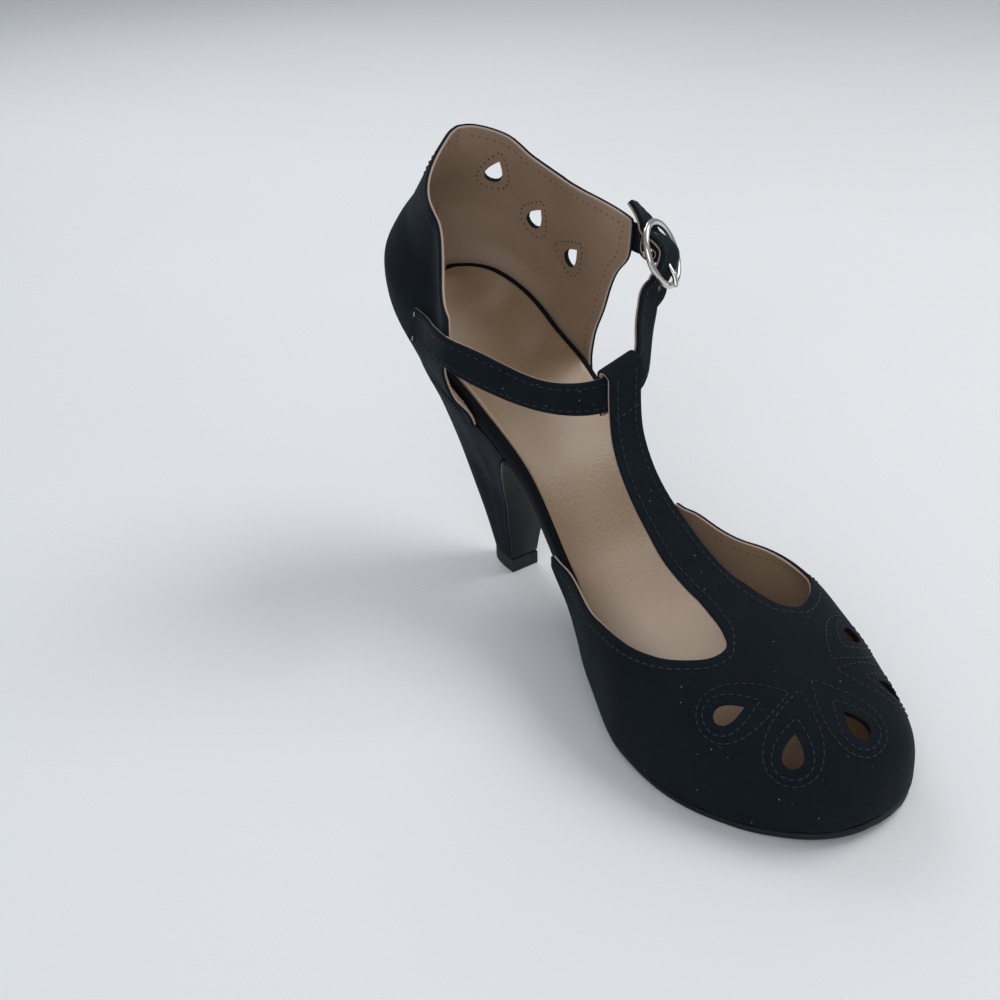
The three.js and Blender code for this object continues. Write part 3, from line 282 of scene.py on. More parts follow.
def smooth_line(points, count):
    """Centripetal Catmull-Rom line through points, at count + 1 even parameters."""
    p = [np.asarray(q, float) for q in points]
    p = [2 * p[0] - p[1]] + p + [2 * p[-1] - p[-2]]
    spans = len(p) - 3
    out = []
    for i in range(count + 1):
        t = i / count * spans
        k = min(int(t), spans - 1)
        w = t - k
        a, b, c, d = p[k:k + 4]
        d0, d1, d2 = (max(np.linalg.norm(v) ** 0.5, 1e-4) for v in (b - a, c - b, d - c))
        t1 = ((b - a) / d0 - (c - a) / (d0 + d1) + (c - b) / d1) * d1
        t2 = ((c - b) / d1 - (d - b) / (d1 + d2) + (d - c) / d2) * d1
        out.append(b + t1 * w + (-3 * b + 3 * c - 2 * t1 - t2) * w * w + (2 * b - 2 * c + t1 + t2) * w ** 3)
    return out


# ---- Materials


class Nodes:
    """A small helper that builds one material's nodes."""

    def __init__(self, name):
        self.material = bpy.data.materials.new(name)
        self.material.use_nodes = True
        self.tree = self.material.node_tree
        self.shader = self.tree.nodes["Principled BSDF"]
        self.coords = self.tree.nodes.new("ShaderNodeTexCoord").outputs["Object"]

    def new(self, kind, **settings):
        node = self.tree.nodes.new(kind)
        for key, value in settings.items():
            setattr(node, key, value)
        return node

    def link(self, a, b):
        self.tree.links.new(a, b)

    def put(self, socket, value):
        """Gives a socket a colour, a number or another node's output."""
        if isinstance(value, tuple):
            socket.default_value = (*value, 1)
        elif isinstance(value, (int, float)):
            socket.default_value = value
        else:
            self.link(value, socket)

    def noise(self, scale, detail, rough):
        node = self.new("ShaderNodeTexNoise")
        node.inputs["Scale"].default_value = scale
        node.inputs["Detail"].default_value = detail
        node.inputs["Roughness"].default_value = rough
        self.link(self.coords, node.inputs["Vector"])
        return node.outputs["Fac"]

    def cells(self, scale):
        node = self.new("ShaderNodeTexVoronoi")
        node.inputs["Scale"].default_value = scale
        self.link(self.coords, node.inputs["Vector"])
        return node.outputs["Distance"]

    def ramp(self, value, stops):
        node = self.new("ShaderNodeValToRGB")
        elements = node.color_ramp.elements
        while len(elements) < len(stops):
            elements.new(0.5)
        for element, (place, colour) in zip(elements, stops):
            element.position = place
            element.color = (*colour, 1)
        self.link(value, node.inputs["Fac"])
        return node.outputs["Color"]

    def mix(self, factor, a, b):
        node = self.new("ShaderNodeMix", data_type="RGBA")
        for socket, value in ((node.inputs[0], factor), (node.inputs[6], a), (node.inputs[7], b)):
            self.put(socket, value)
        return node.outputs[2]

    def range(self, value, low, high, to_low, to_high):
        node = self.new("ShaderNodeMapRange")
        for i, number in enumerate((low, high, to_low, to_high)):
            node.inputs[i + 1].default_value = number
        self.link(value, node.inputs[0])
        return node.outputs[0]

    def bump(self, height, strength, distance, before=None):
        node = self.new("ShaderNodeBump")
        node.inputs["Strength"].default_value = strength
        node.inputs["Distance"].default_value = distance
        self.link(height, node.inputs["Height"])
        if before is not None:
            self.link(before, node.inputs["Normal"])
        return node.outputs["Normal"]

    def finish(self, colour, normal, rough, **values):
        names = {"coat": "Coat Weight", "coat_rough": "Coat Roughness", "sheen": "Sheen Weight",
                 "sheen_rough": "Sheen Roughness", "sheen_tint": "Sheen Tint", "metal": "Metallic",
                 "level": "Specular IOR Level"}
        for socket, value in (("Base Color", colour), ("Normal", normal), ("Roughness", rough)):
            if value is not None:
                self.put(self.shader.inputs[socket], value)
        for key, value in values.items():
            self.put(self.shader.inputs[names[key]], value)
        return self.material


def tinted(base, factor):
    return tuple(c * factor for c in base)


def suede_material(name, base, lint=True):
    n = Nodes(name)
    broad = n.noise(38, 3, 0.6)
    fine = n.noise(900, 5, 0.7)
    colour = n.ramp(broad, [(0.3, tinted(base, 0.84)), (0.52, base), (0.75, tinted(base, 1.25))])
    colour = n.mix(n.range(fine, 0.35, 0.75, 0.0, 0.5), colour, tinted(base, 1.9))
    if lint:
        specks = n.range(n.cells(300), 0.03, 0.075, 1.0, 0.0)
        few = n.range(n.noise(190, 2, 0.5), 0.5, 0.58, 0.0, 0.75)
        both = n.new("ShaderNodeMath", operation="MULTIPLY")
        n.link(specks, both.inputs[0])
        n.link(few, both.inputs[1])
        colour = n.mix(both.outputs[0], colour, (0.33, 0.36, 0.42))
    normal = n.bump(n.noise(2600, 4, 0.75), 0.35, 0.0003)
    normal = n.bump(broad, 0.2, 0.0015, normal)
    return n.finish(colour, normal, n.range(fine, 0.3, 0.7, 0.86, 0.99), sheen=0.05, sheen_rough=0.4,
                    sheen_tint=(0.6, 0.75, 0.85), level=0.12)


def leather_material(name, base, rough, pores, coat=0.0, spread=0.12):
    n = Nodes(name)
    broad = n.noise(26, 3, 0.55)
    colour = n.ramp(broad, [(0.3, tinted(base, 1 - spread)), (0.7, tinted(base, 1 + spread))])
    grain = n.cells(pores)
    colour = n.mix(n.range(grain, 0.0, 0.35, 0.22, 0.0), colour, tinted(base, 0.6))
    normal = n.bump(grain, 0.18, 0.00025)
    normal = n.bump(n.noise(pores * 0.5, 4, 0.6), 0.15, 0.0003, normal)
    rough = n.range(broad, 0.3, 0.7, rough - 0.05, rough + 0.07)
    return n.finish(colour, normal, rough, coat=coat, coat_rough=0.35, level=0.4)


SUEDE = suede_material("suede_navy", (0.0058, 0.0091, 0.0132))
SUEDE_RIM = suede_material("suede_rim", (0.0045, 0.006, 0.0078), lint=False)
LINING = leather_material("lining_tan", (0.33, 0.232, 0.162), 0.48, 1500)
EDGE = leather_material("lining_edge", (0.40, 0.30, 0.25), 0.7, 1800)
SOCK_TAN = leather_material("sock_tan", (0.312, 0.206, 0.122), 0.33, 1250, coat=0.3, spread=0.07)
STRAP_BACK = leather_material("strap_back", (0.34, 0.28, 0.235), 0.6, 1400)


def sole_material():
    n = Nodes("sole_black")
    broad = n.noise(60, 3, 0.5)
    colour = n.ramp(broad, [(0.3, (0.0055, 0.0075, 0.010)), (0.7, (0.0095, 0.0125, 0.016))])
    normal = n.bump(n.noise(700, 3, 0.5), 0.08, 0.0002)
    return n.finish(colour, normal, n.range(broad, 0.3, 0.7, 0.48, 0.6), level=0.25)


def rubber_material():
    n = Nodes("lift_rubber")
    fine = n.noise(500, 4, 0.6)
    colour = n.ramp(fine, [(0.3, (0.012, 0.013, 0.015)), (0.7, (0.024, 0.025, 0.028))])
    return n.finish(colour, n.bump(fine, 0.25, 0.0003), 0.75, level=0.35)


def metal_material():
    n = Nodes("nickel_polished")
    broad = n.noise(130, 3, 0.5)
    colour = n.ramp(broad, [(0.3, (0.60, 0.585, 0.56)), (0.7, (0.70, 0.69, 0.67))])
    normal = n.bump(n.noise(420, 3, 0.6), 0.03, 0.0001)
    return n.finish(colour, normal, n.range(broad, 0.3, 0.7, 0.14, 0.24), metal=1.0)


def thread_material(name, base):
    n = Nodes(name)
    fine = n.noise(1500, 3, 0.6)
    colour = n.ramp(fine, [(0.3, tinted(base, 0.75)), (0.7, tinted(base, 1.2))])
    return n.finish(colour, n.bump(fine, 0.3, 0.0001), 0.7, sheen=0.1, sheen_rough=0.5)


SOLE_BLACK = sole_material()
RUBBER = rubber_material()
NICKEL = metal_material()
THREAD = thread_material("thread_navy", (0.0062, 0.0098, 0.0155))
THREAD_LIGHT = thread_material("thread_light", (0.62, 0.6, 0.56))
THREAD_TAN = thread_material("thread_tan", (0.17, 0.105, 0.075))
# Dark brown standing in for painted shade: the shade inside stitch holes and in the back seam's groove on the
# lining
PAINTED_HOLE_SHADE = thread_material("stitch_hole_painted_shade", (0.02, 0.016, 0.014))

# ---- Meshes


def place(points):
    return (np.asarray(points, float) - ORIGIN) / 1000


def add(name, data):
    obj = bpy.data.objects.new(name, data)
    bpy.context.scene.collection.objects.link(obj)
    return obj


def make(name, points, faces, materials, slots=None, replaces=(), slot=None, smooth=True):
    mesh = bpy.data.meshes.new(name)
    mesh.from_pydata([tuple(p) for p in place(points)], [], [tuple(int(i) for i in f) for f in faces])
    for material in materials:
        mesh.materials.append(material)
    if slots is not None:
        mesh.polygons.foreach_set("material_index", np.asarray(slots, np.int32))
    mesh.validate()
    obj = add(name, mesh)
    if smooth:
        mesh.polygons.foreach_set("use_smooth", np.ones(len(mesh.polygons), bool))
    if name.startswith("cutter"):
        return obj
    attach(obj, "root")
    for node in replaces:
        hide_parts(node)
    return obj


def apply_all(obj):
    """Turns an object's modifiers into plain mesh."""
    graph = bpy.context.evaluated_depsgraph_get()
    mesh = bpy.data.meshes.new_from_object(
        obj.evaluated_get(graph), preserve_all_data_layers=True, depsgraph=graph)
    obj.modifiers.clear()
    old = obj.data
    obj.data = mesh
    bpy.data.meshes.remove(old)


def subdivide(obj):
    modifier = obj.modifiers.new("smooth", "SUBSURF")
    modifier.levels = modifier.render_levels = 1
    apply_all(obj)


def cut(obj, cutters):
    for cutter in cutters:
        modifier = obj.modifiers.new("cut", "BOOLEAN")
        modifier.operation = "DIFFERENCE"
        modifier.solver = "EXACT"
        modifier.material_mode = "TRANSFER"
        modifier.object = cutter
    apply_all(obj)
    for cutter in cutters:
        mesh = cutter.data
        bpy.data.objects.remove(cutter)
        bpy.data.meshes.remove(mesh)


def sharpen(obj, degrees):
    obj.data.set_sharp_from_angle(angle=math.radians(degrees))


def grid(rows, columns):
    faces = []
    for i in range(rows - 1):
        for j in range(columns - 1):
            a = i * columns + j
            faces.append((a, a + columns, a + columns + 1, a + 1))
    return faces


def loft(rings, closed_ends=True):
    size = len(rings[0])
    points = [p for ring in rings for p in ring]
    faces = []
    for i in range(len(rings) - 1):
        for j in range(size):
            k = (j + 1) % size
            a, b = i * size, (i + 1) * size
            faces.append((a + j, b + j, b + k, a + k))
    if closed_ends:
        for end in (0, len(rings) - 1):
            centre = len(points)
            points.append(np.mean(rings[end], axis=0))
            for j in range(size):
                k = (j + 1) % size
                a = end * size
                faces.append((centre, a + j, a + k) if end == 0 else (centre, a + k, a + j))
    return points, faces


def outward(points, faces):
    """Turns the faces round if they face inwards."""
    p = np.asarray(points)
    total = 0.0
    for f in faces:
        for i in range(1, len(f) - 1):
            total += np.dot(p[f[0]], np.cross(p[f[i]], p[f[i + 1]]))
    return faces if total > 0 else [tuple(reversed(f)) for f in faces]


def joined(*meshes):
    """Several meshes as one."""
    points, faces = [], []
    for p, f in meshes:
        faces += [tuple(i + len(points) for i in face) for face in f]
        points += p
    return points, faces


def turns(count):
    return [2 * math.pi * i / count for i in range(count)]


# How a folded edge is built through the wall: depth as a share of it, how far it stands out in
# millimetres, and whether it is suede (0) or the lining's edge (2)
RIM_ROWS = [(0.05, 0.16, 0), (0.17, 0.30, 0), (0.34, 0.34, 0), (0.5, 0.26, 0), (0.57, 0.02, 0),
            (0.62, 0.1, 2), (0.8, 0.12, 2), (0.94, 0.02, 2)]


def shell(points, faces, thickness):
    """A wall behind an open surface, with folded edges: points, faces and material slots."""
    p = np.array(points, float)
    normals = np.zeros_like(p)
    for f in faces:
        q = [p[i] for i in f]
        n = np.cross(q[1] - q[0], q[2] - q[0])
        if len(f) == 4:
            n = n + np.cross(q[2] - q[0], q[3] - q[0])
        for i in f:
            normals[i] += n
    normals /= np.maximum(np.linalg.norm(normals, axis=1, keepdims=True), 1e-9)
    count = len(p)
    used = set()
    for f in faces:
        for i in range(len(f)):
            used.add((f[i], f[(i + 1) % len(f)]))
    border = [(a, b) for a, b in used if (b, a) not in used]
    out = {}
    for a, b in border:
        away = np.cross(unit(p[b] - p[a]), normals[a])
        for i in (a, b):
            out[i] = out.get(i, np.zeros(3)) + away
    ids = sorted(out)
    where = {v: k for k, v in enumerate(ids)}
    all_points = [*p, *(p - normals * thickness)]
    rows = [list(ids)]
    for depth, stand, _ in RIM_ROWS:
        row = []
        for i in ids:
            row.append(len(all_points))
            all_points.append(p[i] - normals[i] * thickness * depth + unit(out[i]) * stand)
        rows.append(row)
    rows.append([i + count for i in ids])
    new_faces = [tuple(f) for f in faces]
    slots = [0] * len(new_faces)
    for f in faces:
        new_faces.append(tuple(i + count for i in reversed(f)))
        slots.append(1)
    kinds = [kind for _, _, kind in RIM_ROWS] + [2]
    for r in range(len(rows) - 1):
        for a, b in border:
            i, j = where[a], where[b]
            new_faces.append((rows[r][j], rows[r][i], rows[r + 1][i], rows[r + 1][j]))
            slots.append(kinds[r])
    return all_points, new_faces, slots


# ---- Stitches and holes


# The rings of one stitch: place along it, share of its radius, and height in millimetres
STITCH_RINGS = ((0.0, 0.35, -0.16), (0.18, 0.9, 0.05), (0.5, 1.0, 0.12),
                (0.82, 0.9, 0.05), (1.0, 0.35, -0.16))


def stitch_row(name, points, normals, material, pitch=2.7, length=1.95, radius=0.24, lift=0.12):
    """Small threads lying along a line of points on a surface."""
    path = Path(points)
    normal_path = np.array(normals, float)
    count = max(1, int(path.length / pitch))
    threads = []
    for k in range(count):
        middle = (k + 0.5) / count
        half = length / 2 / path.length
        ends = [path.at(middle - half), path.at(middle + half)]
        index = middle * (len(normal_path) - 1)
        normal = unit(normal_path[int(round(index))])
        ahead = unit(ends[1] - ends[0])
        side = unit(np.cross(normal, ahead))
        rings = []
        for t, size, up in STITCH_RINGS:
            here = mix(ends[0], ends[1], t) + normal * (lift + up - 0.1)
            size *= radius
            rings.append([here + side * size * math.cos(turn) + normal * size * math.sin(turn)
                          for turn in turns(6)])
        threads.append(loft(rings))
    make(name, *joined(*threads), [material], slot="suede")


def join_rows(name, rows, material, **settings):
    for i, (points, normals) in enumerate(rows):
        stitch_row(f"{name}_{i}", points, normals, material, **settings)


def lining_row(line, normals):
    """The same row of stitches on the inner face of a wall."""
    return [q - n * WALL for q, n in zip(line, normals)], [-n for n in normals]


# ---- Sole, board and sock


def slab(grow, top, under, cup, under_cup, stations, across, power, full=2):
    """A plate along the foot with rounded edges, hollowed on both faces."""
    rings = []
    for i in range(stations + 1):
        turn = mix(0.012, 0.992, i / stations) * math.pi
        x = mix(-grow, LENGTH - STANDOUT + grow, (1 - math.cos(turn)) / 2)
        inner, outer = half_width(x, MEDIAL, grow), half_width(x, LATERAL, grow)
        thick = top(x) - under(x)
        round_ = min(thick * power, inner / 2.5)
        wide = {MEDIAL: inner - round_, LATERAL: outer - round_}

        def across_at(side, height):
            return vec(x, side * wide[MEDIAL if side < 0 else LATERAL], height)

        def upper(side, shares):
            return [vec(x, side * (wide[side] + round_ * math.sin(t * math.pi / 2)),
                        top(x) - round_ + round_ * math.cos(t * math.pi / 2)) for t in shares]

        def lower(side, shares):
            return [vec(x, side * (wide[side] + round_ * math.cos(t * math.pi / 2)),
                        under(x) + round_ * 0.5 * (1 - math.sin(t * math.pi / 2))) for t in shares]
        over = [2 * j / across - 1 for j in range(across + 1)]
        back = [1 - 2 * j / across for j in range(1, across)]
        rings.append([
            *(across_at(side, top(x) - cup(x) * (1 - abs(side) ** full)) for side in over),
            *upper(LATERAL, (0.33, 0.66, 1.0)), *lower(LATERAL, (0.0, 0.5, 1.0)),
            *(across_at(side, under(x) - under_cup(x) * (1 - side * side)) for side in back),
            *lower(MEDIAL, (1.0, 0.5, 0.0)), *upper(MEDIAL, (1.0, 0.66, 0.33))])
    points, faces = loft(rings)
    return points, outward(points, faces)


def cup_depth(x):
    return FOOTBED_CUP * ease(x / 12) * ease((LENGTH - 30 - x) / 40)


p, f = slab(0, lambda x: footbed(x) + BOARD_RISE, board_under, lambda x: cup_depth(x) + BOARD_DISH,
            lambda x: 0, 150, 16, 0.16)
board = make("board_wrapped", p, f, [SUEDE_RIM], replaces=["insole_board"], slot="suede")
sharpen(board, 55)
p, f = slab(-RIM, lambda x: footbed(x) + CURVED_GAP + SOCK, lambda x: footbed(x) + CURVED_GAP - 0.2,
            cup_depth, cup_depth, 170, 32, 0.42, 4)
make("sock_leather", p, f, [SOCK_TAN], replaces=["sock"], slot="sock")

heel_side, heel_back, heel_breast = (column(HEELS, n) for n in ("side", "back", "breast"))
TIP_TOP = LIFT + GAP
TIP_BACK = TIP_FRONT - TIP_LENGTH


def seat_grow(x):
    return mix(GAP + WALL, 0, ease((x - 44) / 12))


def tip_half(part):
    return TIP_WIDTH / 2 * (1 - max(0, 1 - part) ** TIP_FULL) ** (1 / TIP_FULL)


def breast_point(part):
    part = min(max(part, 0), 1)
    return vec(mix(TIP_FRONT, BREAST_TOP, heel_breast(part)), mix(TIP_TOP, sole_top(BREAST_TOP) - GAP, part))


def heel_mesh():
    ribs, levels = 44, 44
    rows = []
    for i in range(levels + 1):
        level = i / levels
        row = []
        for j in range(-ribs, ribs + 1):
            side = MEDIAL if j < 0 else LATERAL
            along = 1 - math.cos(abs(j) / ribs * math.pi / 2)
            seat_x = mix(-(GAP + WALL), BREAST_TOP, along)
            seat_y = side * half_width(seat_x, side, seat_grow(seat_x))
            tip_x = mix(TIP_BACK, TIP_FRONT, along)
            tip_y = TIP_SHIFT + side * tip_half(along)
            out = mix(heel_back(level), heel_side(level), ease(along * 1.6))
            forward = mix(heel_back(level), heel_breast(level), along)
            x = mix(tip_x, seat_x, forward)
            y = mix(TIP_SHIFT, 0, level) if j == 0 else mix(tip_y, seat_y, out)
            row.append(vec(x, y, mix(TIP_TOP, sole_top(seat_x), level)))
        rows.append(row)
    width = 2 * ribs + 1
    points = [q for row in rows for q in row]
    faces = grid(len(rows), width)
    for i in range(levels):
        a, b = i * width, (i + 1) * width
        faces.append((a, a + width - 1, b + width - 1, b))
    for start, flip in ((0, False), (levels * width, True)):
        ring = [start + j for j in range(width)]
        faces.append(tuple(ring if flip else reversed(ring)))
    return points, outward(points, faces)


p, f = heel_mesh()
heel = make("heel_covered", p, f, [SUEDE], replaces=["heel"], slot="suede")
sharpen(heel, 50)


def lift_mesh():
    ring = []
    steps = 26
    for j in range(-steps, steps + 1):
        along = 1 - math.cos(abs(j) / steps * math.pi / 2)
        side = MEDIAL if j < 0 else LATERAL
        ring.append((mix(TIP_BACK, TIP_FRONT + SOLE_FLAP + GAP, along), TIP_SHIFT + side * tip_half(along)))
    centre = np.mean(ring, axis=0)
    rings = []
    for z, shrink in ((0, 0.35), (0.15, 0.12), (0.5, 0), (LIFT - 0.3, 0), (LIFT, 0.2)):
        rings.append([vec(*(np.array(q) + unit(centre - np.array(q)) * shrink), z) for q in ring])
    points, faces = loft(rings)
    return points, outward(points, faces)


p, f = lift_mesh()
lift = make("top_lift_rubber", p, f, [RUBBER], replaces=["top_lift"], slot="top_lift")
sharpen(lift, 50)


def sole_mesh():
    stations = []
    for i in range(41):
        part = mix(0.012, 0.985, i / 40)
        here = breast_point(part)
        ahead = unit(breast_point(part + 0.01) - breast_point(part - 0.01))
        away = vec(ahead[1], -ahead[0])
        widths = [abs(mix(TIP_SHIFT + side * TIP_WIDTH / 2, side * half_width(BREAST_TOP, side, 0),
                          heel_side(part))) for side in (MEDIAL, LATERAL)]
        stations.append((here + away * GAP, away, mix(SOLE_FLAP, SOLE, ease(part)), *widths))
    toe = LENGTH - STANDOUT + SOLE_REACH
    for i in range(1, 111):
        t = i / 110
        x = mix(BREAST_TOP, toe - 0.05, math.sin(t * math.pi / 2) * 0.35 + t * 0.65)
        grow = mix(-0.6, SOLE_REACH, ease((x - 92) / 26))
        away = unit(vec(sole_top(x + 0.5) - sole_top(x - 0.5), -1))
        stations.append((vec(x, sole_top(x)), away, SOLE,
                         half_width(x, MEDIAL, grow), half_width(x, LATERAL, grow)))
    rings = []
    for top, away, thick, inner, outer in stations:
        r = min(0.6, thick / 3, inner / 3)
        e = r / thick
        ring = []
        for t, side in ((0.0, 1), (0.3, 1), (0.7, 1), (1.0, 1), (1.0, -1), (0.7, -1), (0.3, -1), (0.0, -1)):
            width = outer if side > 0 else inner
            inset = r if t in (0.0, 1.0) else 0
            q = top + away * thick * (0 if t == 0 else 1 if t == 1 else e if t == 0.3 else 1 - e)
            ring.append(vec(q[0], side * (width - inset), q[1]))
        rings.append(ring)
    points, faces = loft(rings)
    return points, outward(points, faces)


p, f = sole_mesh()
sole = make("sole_synthetic", p, f, [SOLE_BLACK], replaces=["outsole"], slot="outsole")
sharpen(sole, 60)

# ---- Vamp

ROOT_X = ROOT_AT * LENGTH
ROOT_Y = ROOT_SIDE * BALL
NECK_X = NECK["at"][-1] * LENGTH
neck = {MEDIAL: column(NECK, "medial"), LATERAL: column(NECK, "lateral")}
LOOP_BEND = WALL + LOOP_SLACK + STRAP_THICK / 2


def feather_line(side):
    wing = MEDIAL_OPENING[0][0] * LENGTH
    line = []
    for i in range(80):
        x = mix(wing, TOE_START, i / 80)
        line.append(vec(x, side * body_width(x, side, STANDOUT)))
    for i in range(81):
        turn = i / 80 * math.pi / 2
        x = TOE_START + (LENGTH - TOE_START) * math.sin(turn) ** (2 / TOE_FULL)
        line.append(vec(x, side * body_width(x, side, STANDOUT) * max(0, math.cos(turn)) ** (2 / TOE_FULL)))
    return Path(line)


def opening_line(rows, side):
    curve = smooth_line([vec(at * LENGTH, turn) for at, turn in rows], 600)
    even = Path(curve)
    line = []
    for i in range(161):
        x, turn = even.at(i / 160)
        front = max(0, (x - TOE_START) / (LENGTH - TOE_START))
        across = max(0, math.cos(math.radians(turn)) ** 2 - front ** TOE_FULL)
        line.append(vec(x, side * body_width(x, side, STANDOUT) * across ** (1 / TOE_FULL)))
    return line


def vamp_rib(foot, head, steps):
    top = math.acos(math.sqrt(min(1, edge_share(*head))))
    rib = []
    for i in range(steps + 1):
        target = math.cos(top * i / steps) ** 2
        low, high = 0.0, 1.0
        for _ in range(22):
            middle = (low + high) / 2
            if edge_share(*(foot + (head - foot) * middle)) > target:
                low = middle
            else:
                high = middle
        part = 0 if i == 0 else 1 if i == steps else low
        rib.append(vamp_surface(*(foot + (head - foot) * part)))
    return rib


def vamp_ribs(rows, side, ribs, neck_ribs, steps):
    opening = opening_line(rows, side)
    edge = Path([*opening, vec(NECK_X, ROOT_Y)])
    corner = Path(opening).length / edge.length
    foot = feather_line(side)
    foot_at = column({"at": FAN["edge"], "foot": FAN["at"]}, "foot")
    out = []
    for i in range(ribs + 1):
        opened = ribs - neck_ribs
        part = corner * i / opened if i <= opened else mix(corner, 1, (i - opened) / neck_ribs)
        out.append(vamp_rib(foot.at(foot_at(part)), edge.at(part), steps))
    return out


def strap_frames(rise_steps, fold_steps, fall_steps):
    root = vamp_surface(ROOT_X, ROOT_Y)
    before = vamp_surface(ROOT_X + 4, ROOT_Y)
    rise = [vec(a * LENGTH, s * BALL, u * SEAT) for a, s, u, _ in STRAP_LINE]
    top = vec(rise[-1][0], rise[-1][1], LOOP_HEIGHT - LOOP_BEND)
    line = [q for q in smooth_line([before, root, *rise, top], 900) if q[0] < ROOT_X - 0.8]
    front = Path(line)
    wide_at = column({"at": [0, *((root[2] - u * SEAT) / (root[2] - top[2]) for _, _, u, _ in STRAP_LINE)],
                      "wide": [1.02, *(w for *_, w in STRAP_LINE)]}, "wide")
    frames = []
    for i in range(rise_steps + 1):
        part = i / rise_steps
        here = front.at(part)
        ahead = unit(front.at(part + 0.01) - front.at(part - 0.01))
        lean = math.radians(LOOP_LEAN) * ease((part - 0.5) / 0.45)
        across = vec(0, math.cos(lean), math.sin(lean))
        away = unit(np.cross(across, ahead))
        wide = ROOT_WIDTH * wide_at(max(0, (root[2] - here[2]) / (root[2] - top[2])))
        frames.append((here, across, away, wide))
    here, across, away, wide = frames[-1]
    up = unit(np.cross(away, across))
    centre = here - away * LOOP_BEND
    for i in range(1, fold_steps + 1):
        turn = i / fold_steps * math.pi
        round_at = centre + away * LOOP_BEND * math.cos(turn) + up * LOOP_BEND * math.sin(turn)
        frames.append((round_at, across, away, wide))
    for i in range(1, fall_steps + 1):
        down = i / fall_steps * LOOP_LAYER
        apart = mix(2 * LOOP_BEND, 2 * WALL + GAP, ease((down - STRAP_WIDTH - 2) / 6))
        frames.append((front.at(1 - down / front.length) - away * apart, across, away,
                       wide * mix(0.97, 0.86, i / fall_steps)))
    return frames


def drop_axes(away, to_tip):
    """The directions along and across a teardrop on a surface with the normal away."""
    along = unit(to_tip - away * np.dot(to_tip, away))
    return along, np.cross(away, along)


def tear(turn, length, width, point=DROP_POINT):
    """Teardrop outline: along its length (tip at turn 0) and across."""
    return (length / 2 * math.cos(turn),
            width / 2 * 1.3 * math.sin(turn) * abs(math.sin(turn / 2)) ** point)


def drop_cutter(name, here, away, to_tip, material):
    along, across = drop_axes(away, to_tip)
    outline = [tear(turn, DROP_LENGTH, DROP_WIDTH) for turn in turns(40)]
    points, faces = loft([[here + along * a + across * b + away * offset for a, b in outline]
                          for offset in (-CUTTER_DEPTH, CUTTER_DEPTH)])
    return make(name, points, outward(points, faces), [material], smooth=False)


VAMP_STEPS = 20
VAMP_RIBS = 76
NECK_RIBS = 5
inner_ribs = vamp_ribs(MEDIAL_OPENING, MEDIAL, VAMP_RIBS, NECK_RIBS, VAMP_STEPS)
outer_ribs = vamp_ribs(LATERAL_OPENING, LATERAL, VAMP_RIBS, NECK_RIBS, VAMP_STEPS)
frames = strap_frames(48, 14, 16)


def vamp_mesh():
    ribs = [*inner_ribs, *reversed(outer_ribs[:-1])]
    points = [q for rib in ribs for q in rib]
    faces = grid(len(ribs), VAMP_STEPS + 1)
    before = [i * (VAMP_STEPS + 1) + VAMP_STEPS
              for i in range(VAMP_RIBS - NECK_RIBS, VAMP_RIBS + NECK_RIBS + 1)]

    def add_row(place_at, before):
        row = []
        for j in range(len(before)):
            row.append(len(points))
            points.append(place_at(j / NECK_RIBS - 1))
        for j in range(len(row) - 1):
            faces.append((before[j], before[j + 1], row[j + 1], row[j]))
        return row
    for i in range(1, 9):
        x = mix(NECK_X, ROOT_X, i / 8)
        before = add_row(lambda s: vamp_surface(
            x, mix(ROOT_Y, neck[MEDIAL if s < 0 else LATERAL](x / LENGTH) * BALL, abs(s))), before)
    for i, (here, across, away, wide) in enumerate(frames):
        crown = mix(0.4, 0, ease(i / 36))
        before = add_row(lambda s: here + across * s * wide / 2 - away * crown * s * s, before)
    return points, faces


def drop_place(at, side, tip):
    x, y = at * LENGTH, side * BALL
    to_tip = vec(math.cos(math.radians(tip)), math.sin(math.radians(tip)), 0)
    return vamp_surface(x, y), vamp_normal(x, y), to_tip


p, f = vamp_mesh()
p, f, m = shell(p, f, WALL)
vamp = make("vamp_suede", p, f, [SUEDE, LINING, EDGE], m, replaces=["vamp"], slot="suede")
subdivide(vamp)
cutters = [drop_cutter(f"cutter_vamp_{i}", *drop_place(*row), SUEDE_RIM) for i, row in enumerate(VAMP_DROPS)]
cut(vamp, cutters)
sharpen(vamp, 50)

# Stitching along the openings, the neck and the strap's edges


def from_head(rib, distance):
    """A place on a rib at a distance from its head, and the surface's normal there."""
    line = Path(rib[::-1])
    here = line.at(min(distance / line.length, 0.9))
    return here, vamp_normal(here[0], here[1])


def edge_rows(distance):
    rows = []
    for ribs, side in ((inner_ribs, MEDIAL), (outer_ribs, LATERAL)):
        places = [from_head(rib, distance) for rib in ribs[4:VAMP_RIBS - NECK_RIBS]]
        for i in range(9):
            x = mix(NECK_X, ROOT_X, i / 8)
            y = neck[side](x / LENGTH) * BALL - side * distance
            places.append((vamp_surface(x, y), vamp_normal(x, y)))
        for here, across, away, wide in frames[1:49]:
            places.append((here + across * side * (wide / 2 - distance * 0.85), away))
        rows.append(([q for q, _ in places], [n for _, n in places]))
    return rows


join_rows("vamp_edge_stitch", edge_rows(VAMP_STITCH), THREAD)
inside = [lining_row(points[:76], normals[:76]) for points, normals in edge_rows(VAMP_LINING_STITCH)]
join_rows("vamp_lining_stitch", inside, THREAD_TAN, pitch=2.7, length=1.4, radius=0.22, lift=0.04)
here, across, away, wide = frames[48]
low = frames[48 - 8]
down = unit(low[0] - here)
line = [here + down * LOOP_SEAM + across * s * wide / 2 * 0.86 for s in np.linspace(-1, 1, 12)]
join_rows("loop_stitch", [(line, [away] * 12)], THREAD)


